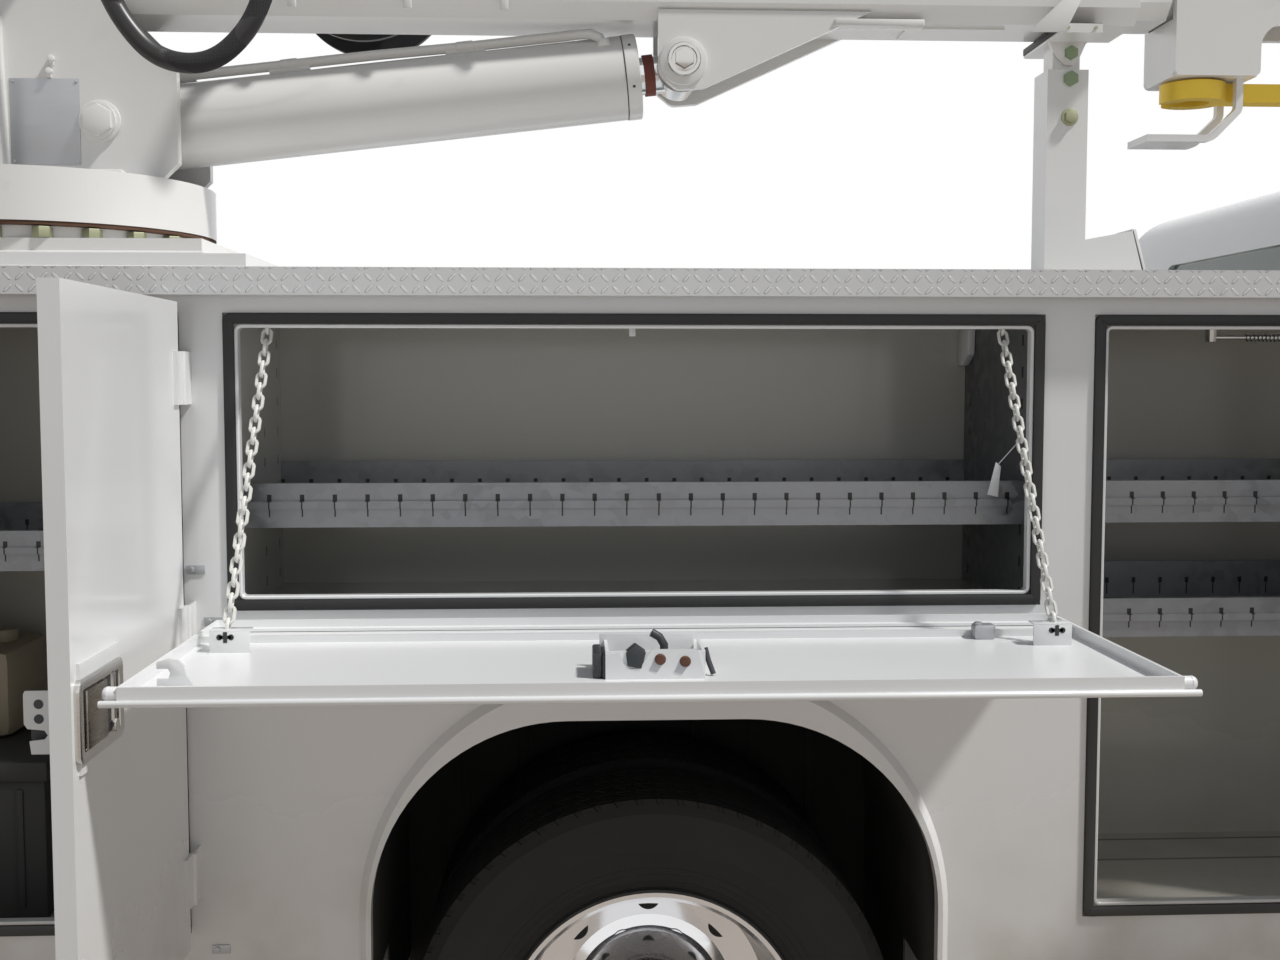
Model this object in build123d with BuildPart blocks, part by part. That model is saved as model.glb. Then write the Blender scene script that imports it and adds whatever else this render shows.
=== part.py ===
from build123d import *
import os
from math import atan2, cos, degrees, hypot, radians, sin, tan

# Service crane truck with open side compartments, drop-down doors and a telescopic hydraulic crane.
# Millimetres. +X is the front, +Y the left side, +Z up. Ground is z = 0, x = 0 is mid length.

# Chassis
wheelbase = 3700
front_overhang = 965
rear_overhang = 1750
cab_to_axle = 1524
rail_width = 70
rail_half_span = 430
rail_bottom = 600
rail_top = 830
rail_wall = 8

# Wheels
tyre_radius = 405
tyre_width = 225
bead_radius = 252
dual_spacing = 255
rear_outer_y = 1018
front_wheel_y = 905
kingpin_y = 780
spindle_radius = 48
fit_gap = 0.3
run_gap = 0.5

# Service body
body_rear = -1420
body_front = 1450
side_plane = 1195
pack_depth = 500
sheet = 4
body_bottom = 520
top_z = 1667
deck_z = 950
door_thickness = 26
door_gap = 6
door_overlap = 10
fold_drop = 42
fold_out = 38
move_gap = 6

# Crane
crane_x = -1042
crane_inset = 300
drum_radius = 290
turret_plate = 20
turret_gap = 190
pivot_back = 60
pivot_z = 2300
boom_width = 170
boom_height = 200
boom_bottom = 2105
boom_wall = 8
boom_chamfer = 25
stage_gap = 5
base_pin = (142, 1919)
rod_pin = (1099, 2032)
barrel_radius = 71
rod_radius = 32

# Cab
cab_half_width = 1000
roof_half_width = 730
cab_wall = 36
belt_z = 1370
roof_z = 1965
sill_z = 640
cowl_z = 1400
hood_front_z = 1260

rear_x = rear_overhang - (rear_overhang + wheelbase + front_overhang) / 2
front_x = rear_x + wheelbase
wheel_z = tyre_radius
bumper_x = front_x + front_overhang
tail_x = rear_x - rear_overhang
pack_inner = side_plane - pack_depth
door_inner_y = side_plane + door_gap
door_outer_y = door_inner_y + door_thickness
crane_centre_x = rear_x + crane_x
crane_y = -(side_plane - crane_inset)
boom_pivot_x = crane_centre_x - pivot_back

# One row for each side of the truck: its name and the sign of y.
sides = {"left": 1, "right": -1}

os.makedirs("parts", exist_ok=True)


def parted(solids, cuts):
    """Solids split at planes. A cut has its axis and place, and the spans of x, y and z it works in."""
    for axis, place, *spans in cuts:
        plane = Plane(origin=[place if k == axis else 0 for k in range(3)],
                      z_dir=[1 if k == axis else 0 for k in range(3)])
        found = []
        for solid in solids:
            box = solid.bounding_box()
            middle = box.center()
            inside = all(span[0] < value < span[1] for span, value in zip(spans, middle))
            if inside and tuple(box.min)[axis] < place - 0.1 and tuple(box.max)[axis] > place + 0.1:
                for half in solid.split(plane, keep=Keep.BOTH):
                    found.extend(half if isinstance(half, list) else half.solids())
            else:
                found.append(solid)
        solids = found
    return solids


def finish(builder, label, cuts=()):
    """Label a finished sub-part, made of panels where it has cuts, and write it."""
    part = Compound(parted(builder.part.solids(), cuts)) if cuts else builder.part
    part.label = label
    export_step(part, f"parts/{label}.step")


def block(x, y, z, mode=Mode.ADD):
    """Box between the low and high values of x, y and z."""
    centre = ((x[0] + x[1]) / 2, (y[0] + y[1]) / 2, (z[0] + z[1]) / 2)
    with Locations(centre):
        Box(abs(x[1] - x[0]), abs(y[1] - y[0]), abs(z[1] - z[0]), mode=mode)


def rod(start, end, radius, mode=Mode.ADD):
    """Round bar from start to end."""
    run = Vector(*end) - Vector(*start)
    with BuildSketch(Plane(origin=start, z_dir=run)) as section:
        Circle(radius)
    extrude(section.sketch, amount=run.length, mode=mode)


def outline(rows, plane, grow=0.0):
    """Face from rows of (across, up, corner radius) on a plane, grown outwards by grow."""
    with BuildSketch(plane) as shape:
        with BuildLine():
            FilletPolyline(*[(a, b) for a, b, _ in rows], radius=[r for _, _, r in rows], close=True)
        make_face()
        if grow:
            offset(amount=grow, kind=Kind.INTERSECTION)
    return shape.sketch


def side_prism(rows, y, mode=Mode.ADD):
    """Profile of (x, z, corner radius) rows between two values of y."""
    low, high = min(y), max(y)
    extrude(outline(rows, Plane.XZ.offset(-low)), amount=-(high - low), mode=mode)


def wheel_plane(x, y, side):
    """Plane through a wheel's axis: across is the radius, up is outboard."""
    return Plane(origin=(x, y, wheel_z), x_dir=(0, 0, 1), z_dir=(-side, 0, 0))


def turned(rows, x, y, side, mode=Mode.ADD):
    """Solid of revolution about a wheel's axis from rows of (radius, outboard)."""
    with BuildSketch(wheel_plane(x, y, side)) as section:
        with BuildLine():
            Polyline(*rows, close=True)
        make_face()
    revolve(section.sketch, axis=Axis((x, 0, wheel_z), (0, 1, 0)), mode=mode)


def xz_bore(x, z, radius, y, mode=Mode.SUBTRACT):
    """Hole or pin along y."""
    rod((x, min(y), z), (x, max(y), z), radius, mode)


# Chassis frame: two channel rails, open inwards, and five cross members.
rail_rear = rear_x + body_rear + 60
rail_front = bumper_x - 190
cross_members = [rail_rear + 60, rear_x - 560, rear_x + 620, rear_x + 1560, front_x - 1230, rail_front - 60]
cab_mounts = [front_x - 1900, front_x - 620]
cab_foot_z = rail_top + 20
with BuildPart() as chassis_frame:
    for side in sides.values():
        web = (side * (rail_half_span - rail_wall), side * rail_half_span)
        flange = (side * (rail_half_span - rail_width), side * rail_half_span)
        block((rail_rear, rail_front), web, (rail_bottom, rail_top))
        block((rail_rear, rail_front), flange, (rail_bottom, rail_bottom + rail_wall))
        block((rail_rear, rail_front), flange, (rail_top - rail_wall, rail_top))
    for x in cross_members:
        block((x - 40, x + 40), (-rail_half_span + rail_wall, rail_half_span - rail_wall),
              (rail_bottom + 100, rail_bottom + 180))
    for x in cab_mounts:
        for side in sides.values():
            rod((x, side * (rail_half_span - 35), rail_top), (x, side * (rail_half_span - 35), cab_foot_z - fit_gap), 32)
finish(chassis_frame, "chassis_frame")

# Axles
axle_tube_radius = 62
inner_rear_y = rear_outer_y - dual_spacing
spindle_end = rear_outer_y + 20
pinion_reach = 300
pinion_rise = 22
banjo_rows = [(-150, 0), (-120, 120), (-40, 172), (60, 172), (170, 80), (170, 0)]
with BuildPart() as rear_axle:
    rod((rear_x, -inner_rear_y + 130, wheel_z), (rear_x, inner_rear_y - 130, wheel_z), axle_tube_radius)
    rod((rear_x, -spindle_end, wheel_z), (rear_x, spindle_end, wheel_z), spindle_radius)
    with BuildSketch(Plane.XZ) as banjo:
        with BuildLine():
            Polyline(*[(rear_x + a, wheel_z + b) for a, b in banjo_rows], close=True)
        make_face()
    revolve(banjo.sketch, axis=Axis((rear_x, 0, wheel_z), (1, 0, 0)))
    rod((rear_x, 0, wheel_z), (rear_x + pinion_reach, 0, wheel_z + pinion_rise), 55)
finish(rear_axle, "rear_axle")

# Springs: packs of leaves under the rails, seated on the axles.
spring_y = 395
leaf_half = 38
spring_table = [
    # axle x, half length, seat z, eye z
    (rear_x, 640, wheel_z + axle_tube_radius, 560),
    (front_x, 560, wheel_z + 45, 545),
]
with BuildPart() as leaf_springs:
    for axle, half, seat, eye in spring_table:
        for side in sides.values():
            y = (side * spring_y - leaf_half, side * spring_y + leaf_half)
            rows = [
                (axle - 110, seat + fit_gap, 0), (axle + 110, seat + fit_gap, 0),
                (axle + half * 0.6, eye - 40, 0), (axle + half, eye - 14, 0), (axle + half, eye, 0),
                (axle + half * 0.5, eye - 10, 0), (axle + 110, seat + 62, 0), (axle - 110, seat + 62, 0),
                (axle - half * 0.5, eye - 10, 0), (axle - half, eye, 0), (axle - half, eye - 14, 0),
                (axle - half * 0.6, eye - 40, 0),
            ]
            side_prism(rows, y)
            for end in (-1, 1):
                block((axle + end * half - 26, axle + end * half + 26), y, (eye - 30, rail_bottom - fit_gap))
finish(leaf_springs, "leaf_springs")

kingpin_radius = 20
eye_half = 50
beam_eye_radius = 34
beam_end = kingpin_y - 20
with BuildPart() as front_axle_beam:
    rows = [
        (-beam_end, wheel_z - 35, 0), (-560, wheel_z - 60, 0), (560, wheel_z - 60, 0), (beam_end, wheel_z - 35, 0),
        (beam_end, wheel_z + 35, 0), (520, wheel_z + 45, 0), (-520, wheel_z + 45, 0), (-beam_end, wheel_z + 35, 0),
    ]
    extrude(outline(rows, Plane.YZ.offset(front_x - beam_eye_radius)), amount=2 * beam_eye_radius)
    for side in sides.values():
        y = side * kingpin_y
        rod((front_x, y, wheel_z - eye_half), (front_x, y, wheel_z + eye_half), beam_eye_radius)
        rod((front_x, y, wheel_z - eye_half), (front_x, y, wheel_z + eye_half), kingpin_radius + run_gap, Mode.SUBTRACT)
finish(front_axle_beam, "front_axle_beam")

# Engine block, gearbox and propeller shaft
with BuildPart() as powertrain:
    block((front_x - 330, front_x + 480), (-300, 300), (560, 1130))
    block((front_x - 1150, front_x - 330), (-160, 160), (520, 800))
    rod((front_x - 1150, 0, 610), (rear_x + pinion_reach + 3 * fit_gap, 0, wheel_z + pinion_rise), 48)
    for side in sides.values():
        block((front_x - 40, front_x + 60), (side * 290, side * (rail_half_span - rail_wall - fit_gap)),
              (rail_bottom + 60, rail_bottom + 150))
finish(powertrain, "powertrain")

with BuildPart() as fuel_tank:
    block((rear_x - 1180, rear_x - 640), (-330, 330), (400, rail_bottom - 20))
    fillet(fuel_tank.edges().filter_by(Axis.X), 40)
    for x in (rear_x - 1060, rear_x - 760):
        for side in sides.values():
            block((x - 25, x + 25), (side * 315, side * (rail_half_span - 20)), (rail_bottom - 60, rail_bottom - fit_gap))
finish(fuel_tank, "fuel_tank")

# Wheels
rim_radius = bead_radius - fit_gap
tread_half = tyre_width / 2 - 16
tyre_rows = [
    (bead_radius, -92), (bead_radius + 72, -tyre_width / 2), (tyre_radius - 22, -tyre_width / 2 + 4),
    (tyre_radius, -tread_half), (tyre_radius, tread_half), (tyre_radius - 22, tyre_width / 2 - 4),
    (bead_radius + 72, tyre_width / 2), (bead_radius, 92),
]
hub_bore = spindle_radius + run_gap
# Rim sections as (radius, outboard), the outer dual dished in and the front one domed out.
dished_rows = [
    (hub_bore, -150), (118, -150), (118, -102), (190, -98), (rim_radius, -96), (rim_radius, 100),
    (rim_radius - 14, 100), (225, 40), (205, -60), (150, -66), (132, -60), (110, 60), (95, 78), (hub_bore, 78),
]
inner_rows = [
    (hub_bore, -70), (120, -70), (225, 60), (rim_radius, -96), (rim_radius, 96), (118, 104), (hub_bore, 104),
]
domed_rows = [
    (hub_bore, -70), (120, -70), (150, 20), (225, 20), (rim_radius - 12, -96), (rim_radius, -96),
    (rim_radius, 100), (rim_radius - 16, 100), (226, 70), (150, 108), (128, 112), (118, 132), (70, 140), (hub_bore, 140),
]
wheel_table = [
    # name, x, outer y, is dual
    ("front", front_x, front_wheel_y, False),
    ("rear", rear_x, rear_outer_y, True),
]
for name, x, y, dual in wheel_table:
    for side_name, side in sides.items():
        with BuildPart() as tyres:
            turned(tyre_rows, x, side * y, side)
            if dual:
                turned(tyre_rows, x, side * (y - dual_spacing), side)
        finish(tyres, f"{name}_tyre_{side_name}")
        with BuildPart() as rims:
            if dual:
                turned(dished_rows, x, side * y, side)
                turned(inner_rows, x, side * (y - dual_spacing), side)
            else:
                turned(domed_rows, x, side * y, side)
        finish(rims, f"{name}_rim_{side_name}")

# Steering knuckles: a yoke round the beam's eye, its pin, and a spindle in the hub.
yoke_half = 108
for side_name, side in sides.items():
    with BuildPart() as knuckle:
        for low, high in ((-yoke_half, -eye_half - fit_gap), (eye_half + fit_gap, yoke_half)):
            block((front_x - 34, front_x + 34), (side * (kingpin_y - 28), side * (kingpin_y + 52)),
                  (wheel_z + low, wheel_z + high))
        block((front_x - 34, front_x + 34), (side * (kingpin_y + 40), side * (kingpin_y + 52)),
              (wheel_z - yoke_half, wheel_z + yoke_half))
        rod((front_x, side * kingpin_y, wheel_z - yoke_half), (front_x, side * kingpin_y, wheel_z + yoke_half), kingpin_radius)
        rod((front_x, side * (kingpin_y + 45), wheel_z), (front_x, side * (front_wheel_y + 60), wheel_z), spindle_radius)
    finish(knuckle, f"knuckle_{side_name}")

# Front bumper: pressed channel with turned-back ends.
with BuildPart() as front_bumper:
    rows = [
        (bumper_x - 200, -cab_half_width - 20, 0), (bumper_x - 50, -cab_half_width + 50, 60),
        (bumper_x, -420, 200), (bumper_x, 420, 200), (bumper_x - 50, cab_half_width - 50, 60),
        (bumper_x - 200, cab_half_width + 20, 0), (bumper_x - 220, cab_half_width - 20, 0),
        (bumper_x - 95, cab_half_width - 90, 40), (bumper_x - 50, 400, 0), (bumper_x - 50, -400, 0),
        (bumper_x - 95, -cab_half_width + 90, 40), (bumper_x - 220, -cab_half_width + 20, 0),
    ]
    extrude(outline(rows, Plane.XY.offset(450)), amount=270)
    for side in sides.values():
        block((rail_front + fit_gap, bumper_x - 45), (side * (rail_half_span - 60), side * rail_half_span),
              (rail_bottom, 710))
finish(front_bumper, "front_bumper")

# Cab forms: the outer skin is where a side, a front and a plan profile meet.
cab_back = rear_x + cab_to_axle
nose_x = bumper_x - 95
screen_foot = front_x - 330
screen_top = front_x - 930
firewall = screen_foot - 60
side_rows = [
    (cab_back, sill_z, 30), (cab_back, roof_z, 110), (screen_top, roof_z, 160), (screen_foot, cowl_z, 60),
    (nose_x - 70, hood_front_z, 120), (nose_x, 1130, 60), (nose_x, 745, 20), (front_x + 400, sill_z + 60, 0),
    (front_x - 480, sill_z, 0),
]
front_rows = [
    (-cab_half_width, sill_z - 40, 20), (cab_half_width, sill_z - 40, 20), (cab_half_width, belt_z, 260),
    (roof_half_width, roof_z + 5, 110), (-roof_half_width, roof_z + 5, 110), (-cab_half_width, belt_z, 260),
]
plan_half = cab_half_width + 4
plan_nose = nose_x + 4
plan_rows = [
    (cab_back - 20, -plan_half, 40), (front_x + 300, -plan_half, 300), (plan_nose, -plan_half + 94, 140),
    (plan_nose, plan_half - 94, 140), (front_x + 300, plan_half, 300), (cab_back - 20, plan_half, 40),
]


def cab_form(inset):
    """Cab and nose as one solid, its skin moved in by inset."""
    with BuildPart() as form:
        extrude(outline(side_rows, Plane.XZ, -inset), amount=cab_half_width + 50, both=True)
        extrude(outline(front_rows, Plane.YZ, -inset), amount=wheelbase * 2, both=True, mode=Mode.INTERSECT)
        extrude(outline(plan_rows, Plane.XY, -inset), amount=roof_z + 200, mode=Mode.INTERSECT)
    return form.part


def skin(outer, inner):
    """Shell between two cab forms."""
    with BuildPart() as shell:
        add(outer)
        add(inner, mode=Mode.SUBTRACT)
    return shell.part


def room(form, x, y, z):
    """The part of a cab form inside a box."""
    with BuildPart() as space:
        add(form)
        block(x, y, z, Mode.INTERSECT)
    return space.part


def wheel_wells():
    """Front wheel wells, room for the steered tyre."""
    for side in sides.values():
        with BuildSketch(Plane.XZ.offset(-side * well_inner)) as ring:
            with Locations((front_x, wheel_z)):
                Circle(well_radius)
        extrude(ring.sketch, amount=-side * 700, mode=Mode.SUBTRACT)


well_radius = 482
floor_z = cab_foot_z + 30
well_inner = 545
hood_half = 745
hood_rear = screen_foot + 40
hood_front = nose_x - 60
hood_seam_z = 1130
door_front = front_x - 520
door_rear = front_x - 1640
door_seam = 7
outer_form = cab_form(0)
inner_form = cab_form(cab_wall)
glass_form = cab_form(12)
cab_skin = skin(outer_form, inner_form)
glass_skin = skin(glass_form, cab_form(18))
gutter_form = cab_form(cab_wall + 14)
gutter_low = skin(cab_form(cab_wall + fit_gap), gutter_form)
gutter_high = skin(cab_form(cab_wall - 2), gutter_form)

# Side doors, windows and screens as (along, up, corner radius).
door_rows = [
    (door_rear, sill_z + 50, 60), (door_rear, roof_z - 75, 60), (screen_top + 60, roof_z - 75, 40),
    (screen_foot - 130, belt_z + 60, 20), (door_front, belt_z - 60, 40), (door_front, sill_z + 50, 60),
]
window_rows = [
    (door_rear + 70, belt_z + 10, 30), (door_rear + 70, roof_z - 130, 40), (screen_top + 25, roof_z - 130, 30),
    (screen_foot - 270, belt_z + 10, 30),
]
quarter_rows = [
    (cab_back + 150, belt_z + 40, 30), (cab_back + 150, roof_z - 150, 40),
    (door_rear - 90, roof_z - 150, 40), (door_rear - 90, belt_z + 40, 30),
]
screen_rows = [(-870, cowl_z + 45, 50), (870, cowl_z + 45, 50), (640, roof_z - 75, 70), (-640, roof_z - 75, 70)]
back_rows = [(-560, belt_z + 90, 50), (560, belt_z + 90, 50), (520, roof_z - 150, 50), (-520, roof_z - 150, 50)]
grille_rows = [(-560, 800, 40), (560, 800, 40), (560, 1120, 40), (-560, 1120, 40)]
lamp_rows = [(610, 900, 30), (850, 900, 30), (850, 1090, 30), (610, 1090, 30)]
mirrored_lamp_rows = [(-a, b, r) for a, b, r in lamp_rows]


def side_cut(rows, grow, side, mode=Mode.SUBTRACT):
    """Window or door prism through one side of the cab."""
    extrude(outline(rows, Plane.XZ.offset(-side * 450), grow), amount=-side * 700, mode=mode)


def front_cut(rows, x, reach, grow=0.0, mode=Mode.SUBTRACT):
    """Prism along x through a screen, the grille or a lamp."""
    extrude(outline(rows, Plane.YZ.offset(x), grow), amount=reach, mode=mode)


def doorway(side):
    """Piece of the cab's skin that a side door takes."""
    with BuildPart() as piece:
        add(cab_skin)
        side_cut(door_rows, 0, side, Mode.INTERSECT)
    return piece.part


def front_pane(rows, x, reach, form):
    """Pane of a form inside a front or rear outline."""
    with BuildPart() as pane:
        add(form)
        front_cut(rows, x, reach, -fit_gap, Mode.INTERSECT)
    return pane.part


def side_pane(rows, side):
    """Pane of glass inside a side outline."""
    with BuildPart() as pane:
        add(glass_skin)
        side_cut(rows, -fit_gap, side, Mode.INTERSECT)
    return pane.part


cabin_space = room(inner_form, (cab_back, firewall), (-1200, 1200), (floor_z, roof_z))
engine_bay = room(inner_form, (firewall + cab_wall, nose_x), (-1200, 1200), (1000, roof_z))
doorways = [doorway(side) for side in sides.values()]
gutters = []
for side in sides.values():
    for form, low in ((gutter_low, hood_half - 50), (gutter_high, hood_half + 3)):
        gutters.append(room(form, (hood_rear + 60, hood_front - 60), (side * low, side * (hood_half + 30)), (1010, roof_z)))
screens = [(screen_rows, screen_top - 100, 900), (back_rows, cab_back - 50, 150)]
with BuildPart() as cab_shell:
    add(outer_form)
    add(cabin_space, mode=Mode.SUBTRACT)
    add(engine_bay, mode=Mode.SUBTRACT)
    block((firewall + cab_wall, nose_x - cab_wall), (-505, 505), (0, 1010), Mode.SUBTRACT)
    block((cab_back - 10, firewall + cab_wall + 10), (-cab_half_width + 60, cab_half_width - 60),
          (0, cab_foot_z), Mode.SUBTRACT)
    wheel_wells()
    block((hood_rear, hood_front), (-hood_half, hood_half), (hood_seam_z, roof_z), Mode.SUBTRACT)
    for gutter in gutters:
        add(gutter)
    for piece in doorways:
        add(piece, mode=Mode.SUBTRACT)
    for side in sides.values():
        side_cut(quarter_rows, 0, side)
    for side in sides.values():
        with BuildSketch(Plane.XZ.offset(-side * (cab_half_width - 14))) as lip:
            with Locations((front_x, wheel_z)):
                Circle(well_radius + 34)
                Circle(well_radius, mode=Mode.SUBTRACT)
            with Locations((front_x, 0)):
                Rectangle(2 * well_radius + 100, 2 * (sill_z + 10), mode=Mode.SUBTRACT)
        extrude(lip.sketch, amount=-side * 28)
    for rows, start, reach in screens:
        front_cut(rows, start, reach)
    front_cut(grille_rows, nose_x - 200, 300)
    front_cut(lamp_rows, nose_x - 90, 300)
    front_cut(mirrored_lamp_rows, nose_x - 90, 300)
finish(cab_shell, "cab_shell")

with BuildPart() as hood:
    add(cab_skin)
    block((hood_rear + door_seam, hood_front - door_seam), (-hood_half + door_seam, hood_half - door_seam),
          (hood_seam_z + door_seam, roof_z), Mode.INTERSECT)
finish(hood, "hood")

panes = [front_pane(rows, start, reach, glass_skin) for rows, start, reach in screens]
panes += [side_pane(quarter_rows, side) for side in sides.values()]
with BuildPart() as cab_glass:
    for pane in panes:
        add(pane)
finish(cab_glass, "cab_glass")

mirror_x = screen_foot - 240
for side_name, side in sides.items():
    with BuildPart() as cab_door:
        add(cab_skin)
        side_cut(door_rows, -door_seam, side, Mode.INTERSECT)
        side_cut(window_rows, 0, side)
        block((mirror_x, mirror_x + 50), (side * 955, side * 1130), (belt_z - 20, belt_z + 10))
        block((mirror_x - 40, mirror_x + 50), (side * 1070, side * 1260), (belt_z - 10, belt_z + 340))
        block((door_rear + 60, door_rear + 210), (side * (cab_half_width - 6), side * (cab_half_width + 26)),
              (belt_z - 190, belt_z - 158))
    finish(cab_door, f"cab_door_{side_name}")
    with BuildPart() as door_glass:
        add(side_pane(window_rows, side))
    finish(door_glass, f"door_glass_{side_name}")

with BuildPart() as grille:
    front_cut(grille_rows, nose_x - 60, 44, -fit_gap, Mode.ADD)
    front_cut(grille_rows, nose_x - 60, 44, -34, Mode.SUBTRACT)
    for row in range(5):
        z = 850 + row * 56
        block((nose_x - 55, nose_x - 20), (-530, 530), (z, z + 14))
    for y in (-265, 0, 265):
        block((nose_x - 60, nose_x - 34), (y - 10, y + 10), (815, 1105))
finish(grille, "grille")

lamps = [front_pane(rows, nose_x - 89, 300, glass_form) for rows in (lamp_rows, mirrored_lamp_rows)]
with BuildPart() as head_lamps:
    for lamp in lamps:
        add(lamp)
finish(head_lamps, "head_lamps")

# Cabin furniture
seat_x = front_x - 1560
with BuildPart() as seats:
    for y in (-430, 430):
        block((seat_x, seat_x + 520), (y - 260, y + 260), (floor_z + fit_gap, floor_z + 300))
        rows = [(seat_x, floor_z + 290, 0), (seat_x + 150, floor_z + 290, 0), (seat_x - 10, floor_z + 900, 40),
                (seat_x - 130, floor_z + 900, 40)]
        side_prism(rows, (y - 250, y + 250))
finish(seats, "seats")

wheel_centre = (seat_x + 620, 430, floor_z + 520)
with BuildPart() as dashboard:
    rows = [(firewall - fit_gap, floor_z + 220, 0), (firewall - fit_gap, belt_z - 10, 0), (firewall - 250, belt_z + 20, 40),
            (firewall - 300, floor_z + 370, 40), (firewall - 150, floor_z + 220, 20)]
    side_prism(rows, (-900, 900))
    rod((firewall - 200, wheel_centre[1], floor_z + 400), wheel_centre, 28)
    tilt = Plane(origin=wheel_centre, z_dir=(-cos(radians(25)), 0, sin(radians(25))))
    with Locations(tilt.location):
        Cylinder(202, 22)
        Cylinder(178, 22, mode=Mode.SUBTRACT)
        Cylinder(52, 30)
    with Locations(*[tilt.location * Location((100 * cos(radians(a)), 100 * sin(radians(a)), 0), (0, 0, a)) for a in (90, 210, 330)]):
        Box(170, 34, 14)
finish(dashboard, "dashboard")

# Steps under the cab doors on brackets from the rails, and mud flaps behind the rear wheels.
step_z = (430, 470)
with BuildPart() as cab_steps:
    for side in sides.values():
        block((door_rear - 60, door_front - 90), (side * 800, side * 1010), step_z)
        block((door_rear - 40, door_front - 110), (side * 830, side * 990), (step_z[1] - 6, step_z[1] + 1), Mode.SUBTRACT)
        for x in (door_rear + 60, door_front - 220):
            block((x, x + 60), (side * (rail_half_span + fit_gap), side * (rail_half_span + 14)), (step_z[0], rail_bottom + 120))
            block((x, x + 60), (side * (rail_half_span + fit_gap), side * 820), (step_z[0], step_z[0] + 12))
finish(cab_steps, "cab_steps")

flap_x = rear_x - 745
with BuildPart() as mud_flaps:
    for side in sides.values():
        block((flap_x, flap_x + 8), (side * 700, side * 1150), (190, 590))
        block((flap_x - 24, flap_x + 8), (side * 700, side * 1150), (586, 600 - fit_gap))
finish(mud_flaps, "mud_flaps")

# Service body: the deck between the side packs, with its sills on the rails and a front wall.
with BuildPart() as body_deck:
    block((rear_x + body_rear, rear_x + body_front), (-pack_inner, pack_inner), (deck_z - 5, deck_z))
    for side in sides.values():
        block((rear_x + body_rear + 60, rear_x + body_front), (side * 360, side * 430), (rail_top, deck_z - 5))
    for k in range(7):
        x = rear_x + body_rear + 80 + k * 440
        block((x, x + 60), (-pack_inner, pack_inner), (deck_z - 60, deck_z - 5))
    block((rear_x + body_front - 40, rear_x + body_front), (-pack_inner, pack_inner), (deck_z, top_z - sheet))
    for side in sides.values():
        block((rear_x + body_rear + 12, rear_x + body_rear + 36), (side * 460, side * 560), (deck_z, deck_z + move_gap - fit_gap))
finish(body_deck, "body_deck")

# Openings in each side: name, rear x, front x, bottom z, top z, all from the rear axle.
opening_table = {
    "rear": (-1207, -732, 630, 1600),
    "middle": (-666, 612, 1140, 1600),
    "front": (691, 1390, 630, 1600),
}
wall_margin = 16
inner_gap = 24
arch_half = 450
arch_top = 965
arch_rows = [
    (-arch_half, body_bottom - 60, 0), (-arch_half, arch_top, 310), (arch_half, arch_top, 310),
    (arch_half, body_bottom - 60, 0),
]
flare_half = arch_half + 22
flare_rows = [
    (-flare_half, body_bottom - 60, 0), (-flare_half, arch_top + 80, 400), (flare_half, arch_top + 80, 400),
    (flare_half, body_bottom - 60, 0),
]
flare_proud = 18


def pack_opening(row):
    """Corner values of a compartment opening in the row frame."""
    x0, x1, z0, z1 = opening_table[row]
    return (rear_x + x0, rear_x + x1), (z0, z1)


# Hinges: upright pins outside the vertical doors, a level pin under the drop-down door.
hinge_radius = 5
leaf_length = 80
vertical_axis_y = door_outer_y + hinge_radius
drop_axis_y = door_inner_y + door_thickness / 2
drop_axis_z = 1118
drop_edge = 12
drop_top = drop_axis_z + door_thickness / 2
drop_thickness = 20
roll_reach = 12
(drop_x0, drop_x1), (drop_z0, drop_z1) = pack_opening("middle")
drop_height = drop_z1 - drop_z0 + 2 * door_overlap + 5
drop_x = (drop_x0 - door_overlap, drop_x1 + door_overlap)


def hinge_x(row):
    """Hinge line of a vertical door, at the opening's front edge."""
    return rear_x + opening_table[row][1] + door_overlap + hinge_radius


def leaf_heights(row):
    """Low ends of a vertical door's three hinges."""
    _, (z0, z1) = pack_opening(row)
    return [z0 + 60 + k * (z1 - z0 - 200) / 2 for k in range(3)]


# Door chains run from pins in the opening's top corners to pins on the drop-down door.
link_wire = 5
link_pitch = 19.0
link_width = 17
chain_pin_radius = 2.2
chain_mid = (drop_x0 + drop_x1) / 2
chain_top_offset = 571
chain_foot_offset = 592
chain_top_y = side_plane - 14
chain_top_z = 1588
chain_foot_y = side_plane + 204
chain_foot_z = drop_axis_z + 22


def chain_ends(side, end):
    """Both ends of a door chain's centre line."""
    top = Vector(chain_mid + end * chain_top_offset, side * chain_top_y, chain_top_z)
    foot = Vector(chain_mid + end * chain_foot_offset, side * chain_foot_y, chain_foot_z)
    return top, foot


def chain_pins(side, end):
    """Centres of the pins through a door chain's first and last links."""
    top, foot = chain_ends(side, end)
    step = (foot - top).normalized() * (chain_pin_radius + fit_gap / 2)
    return top + step, foot - step


everywhere = (-9999, 9999)


def spread(side, low, high):
    """Span of y between two distances from the middle plane."""
    return tuple(sorted((side * low, side * high)))


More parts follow.
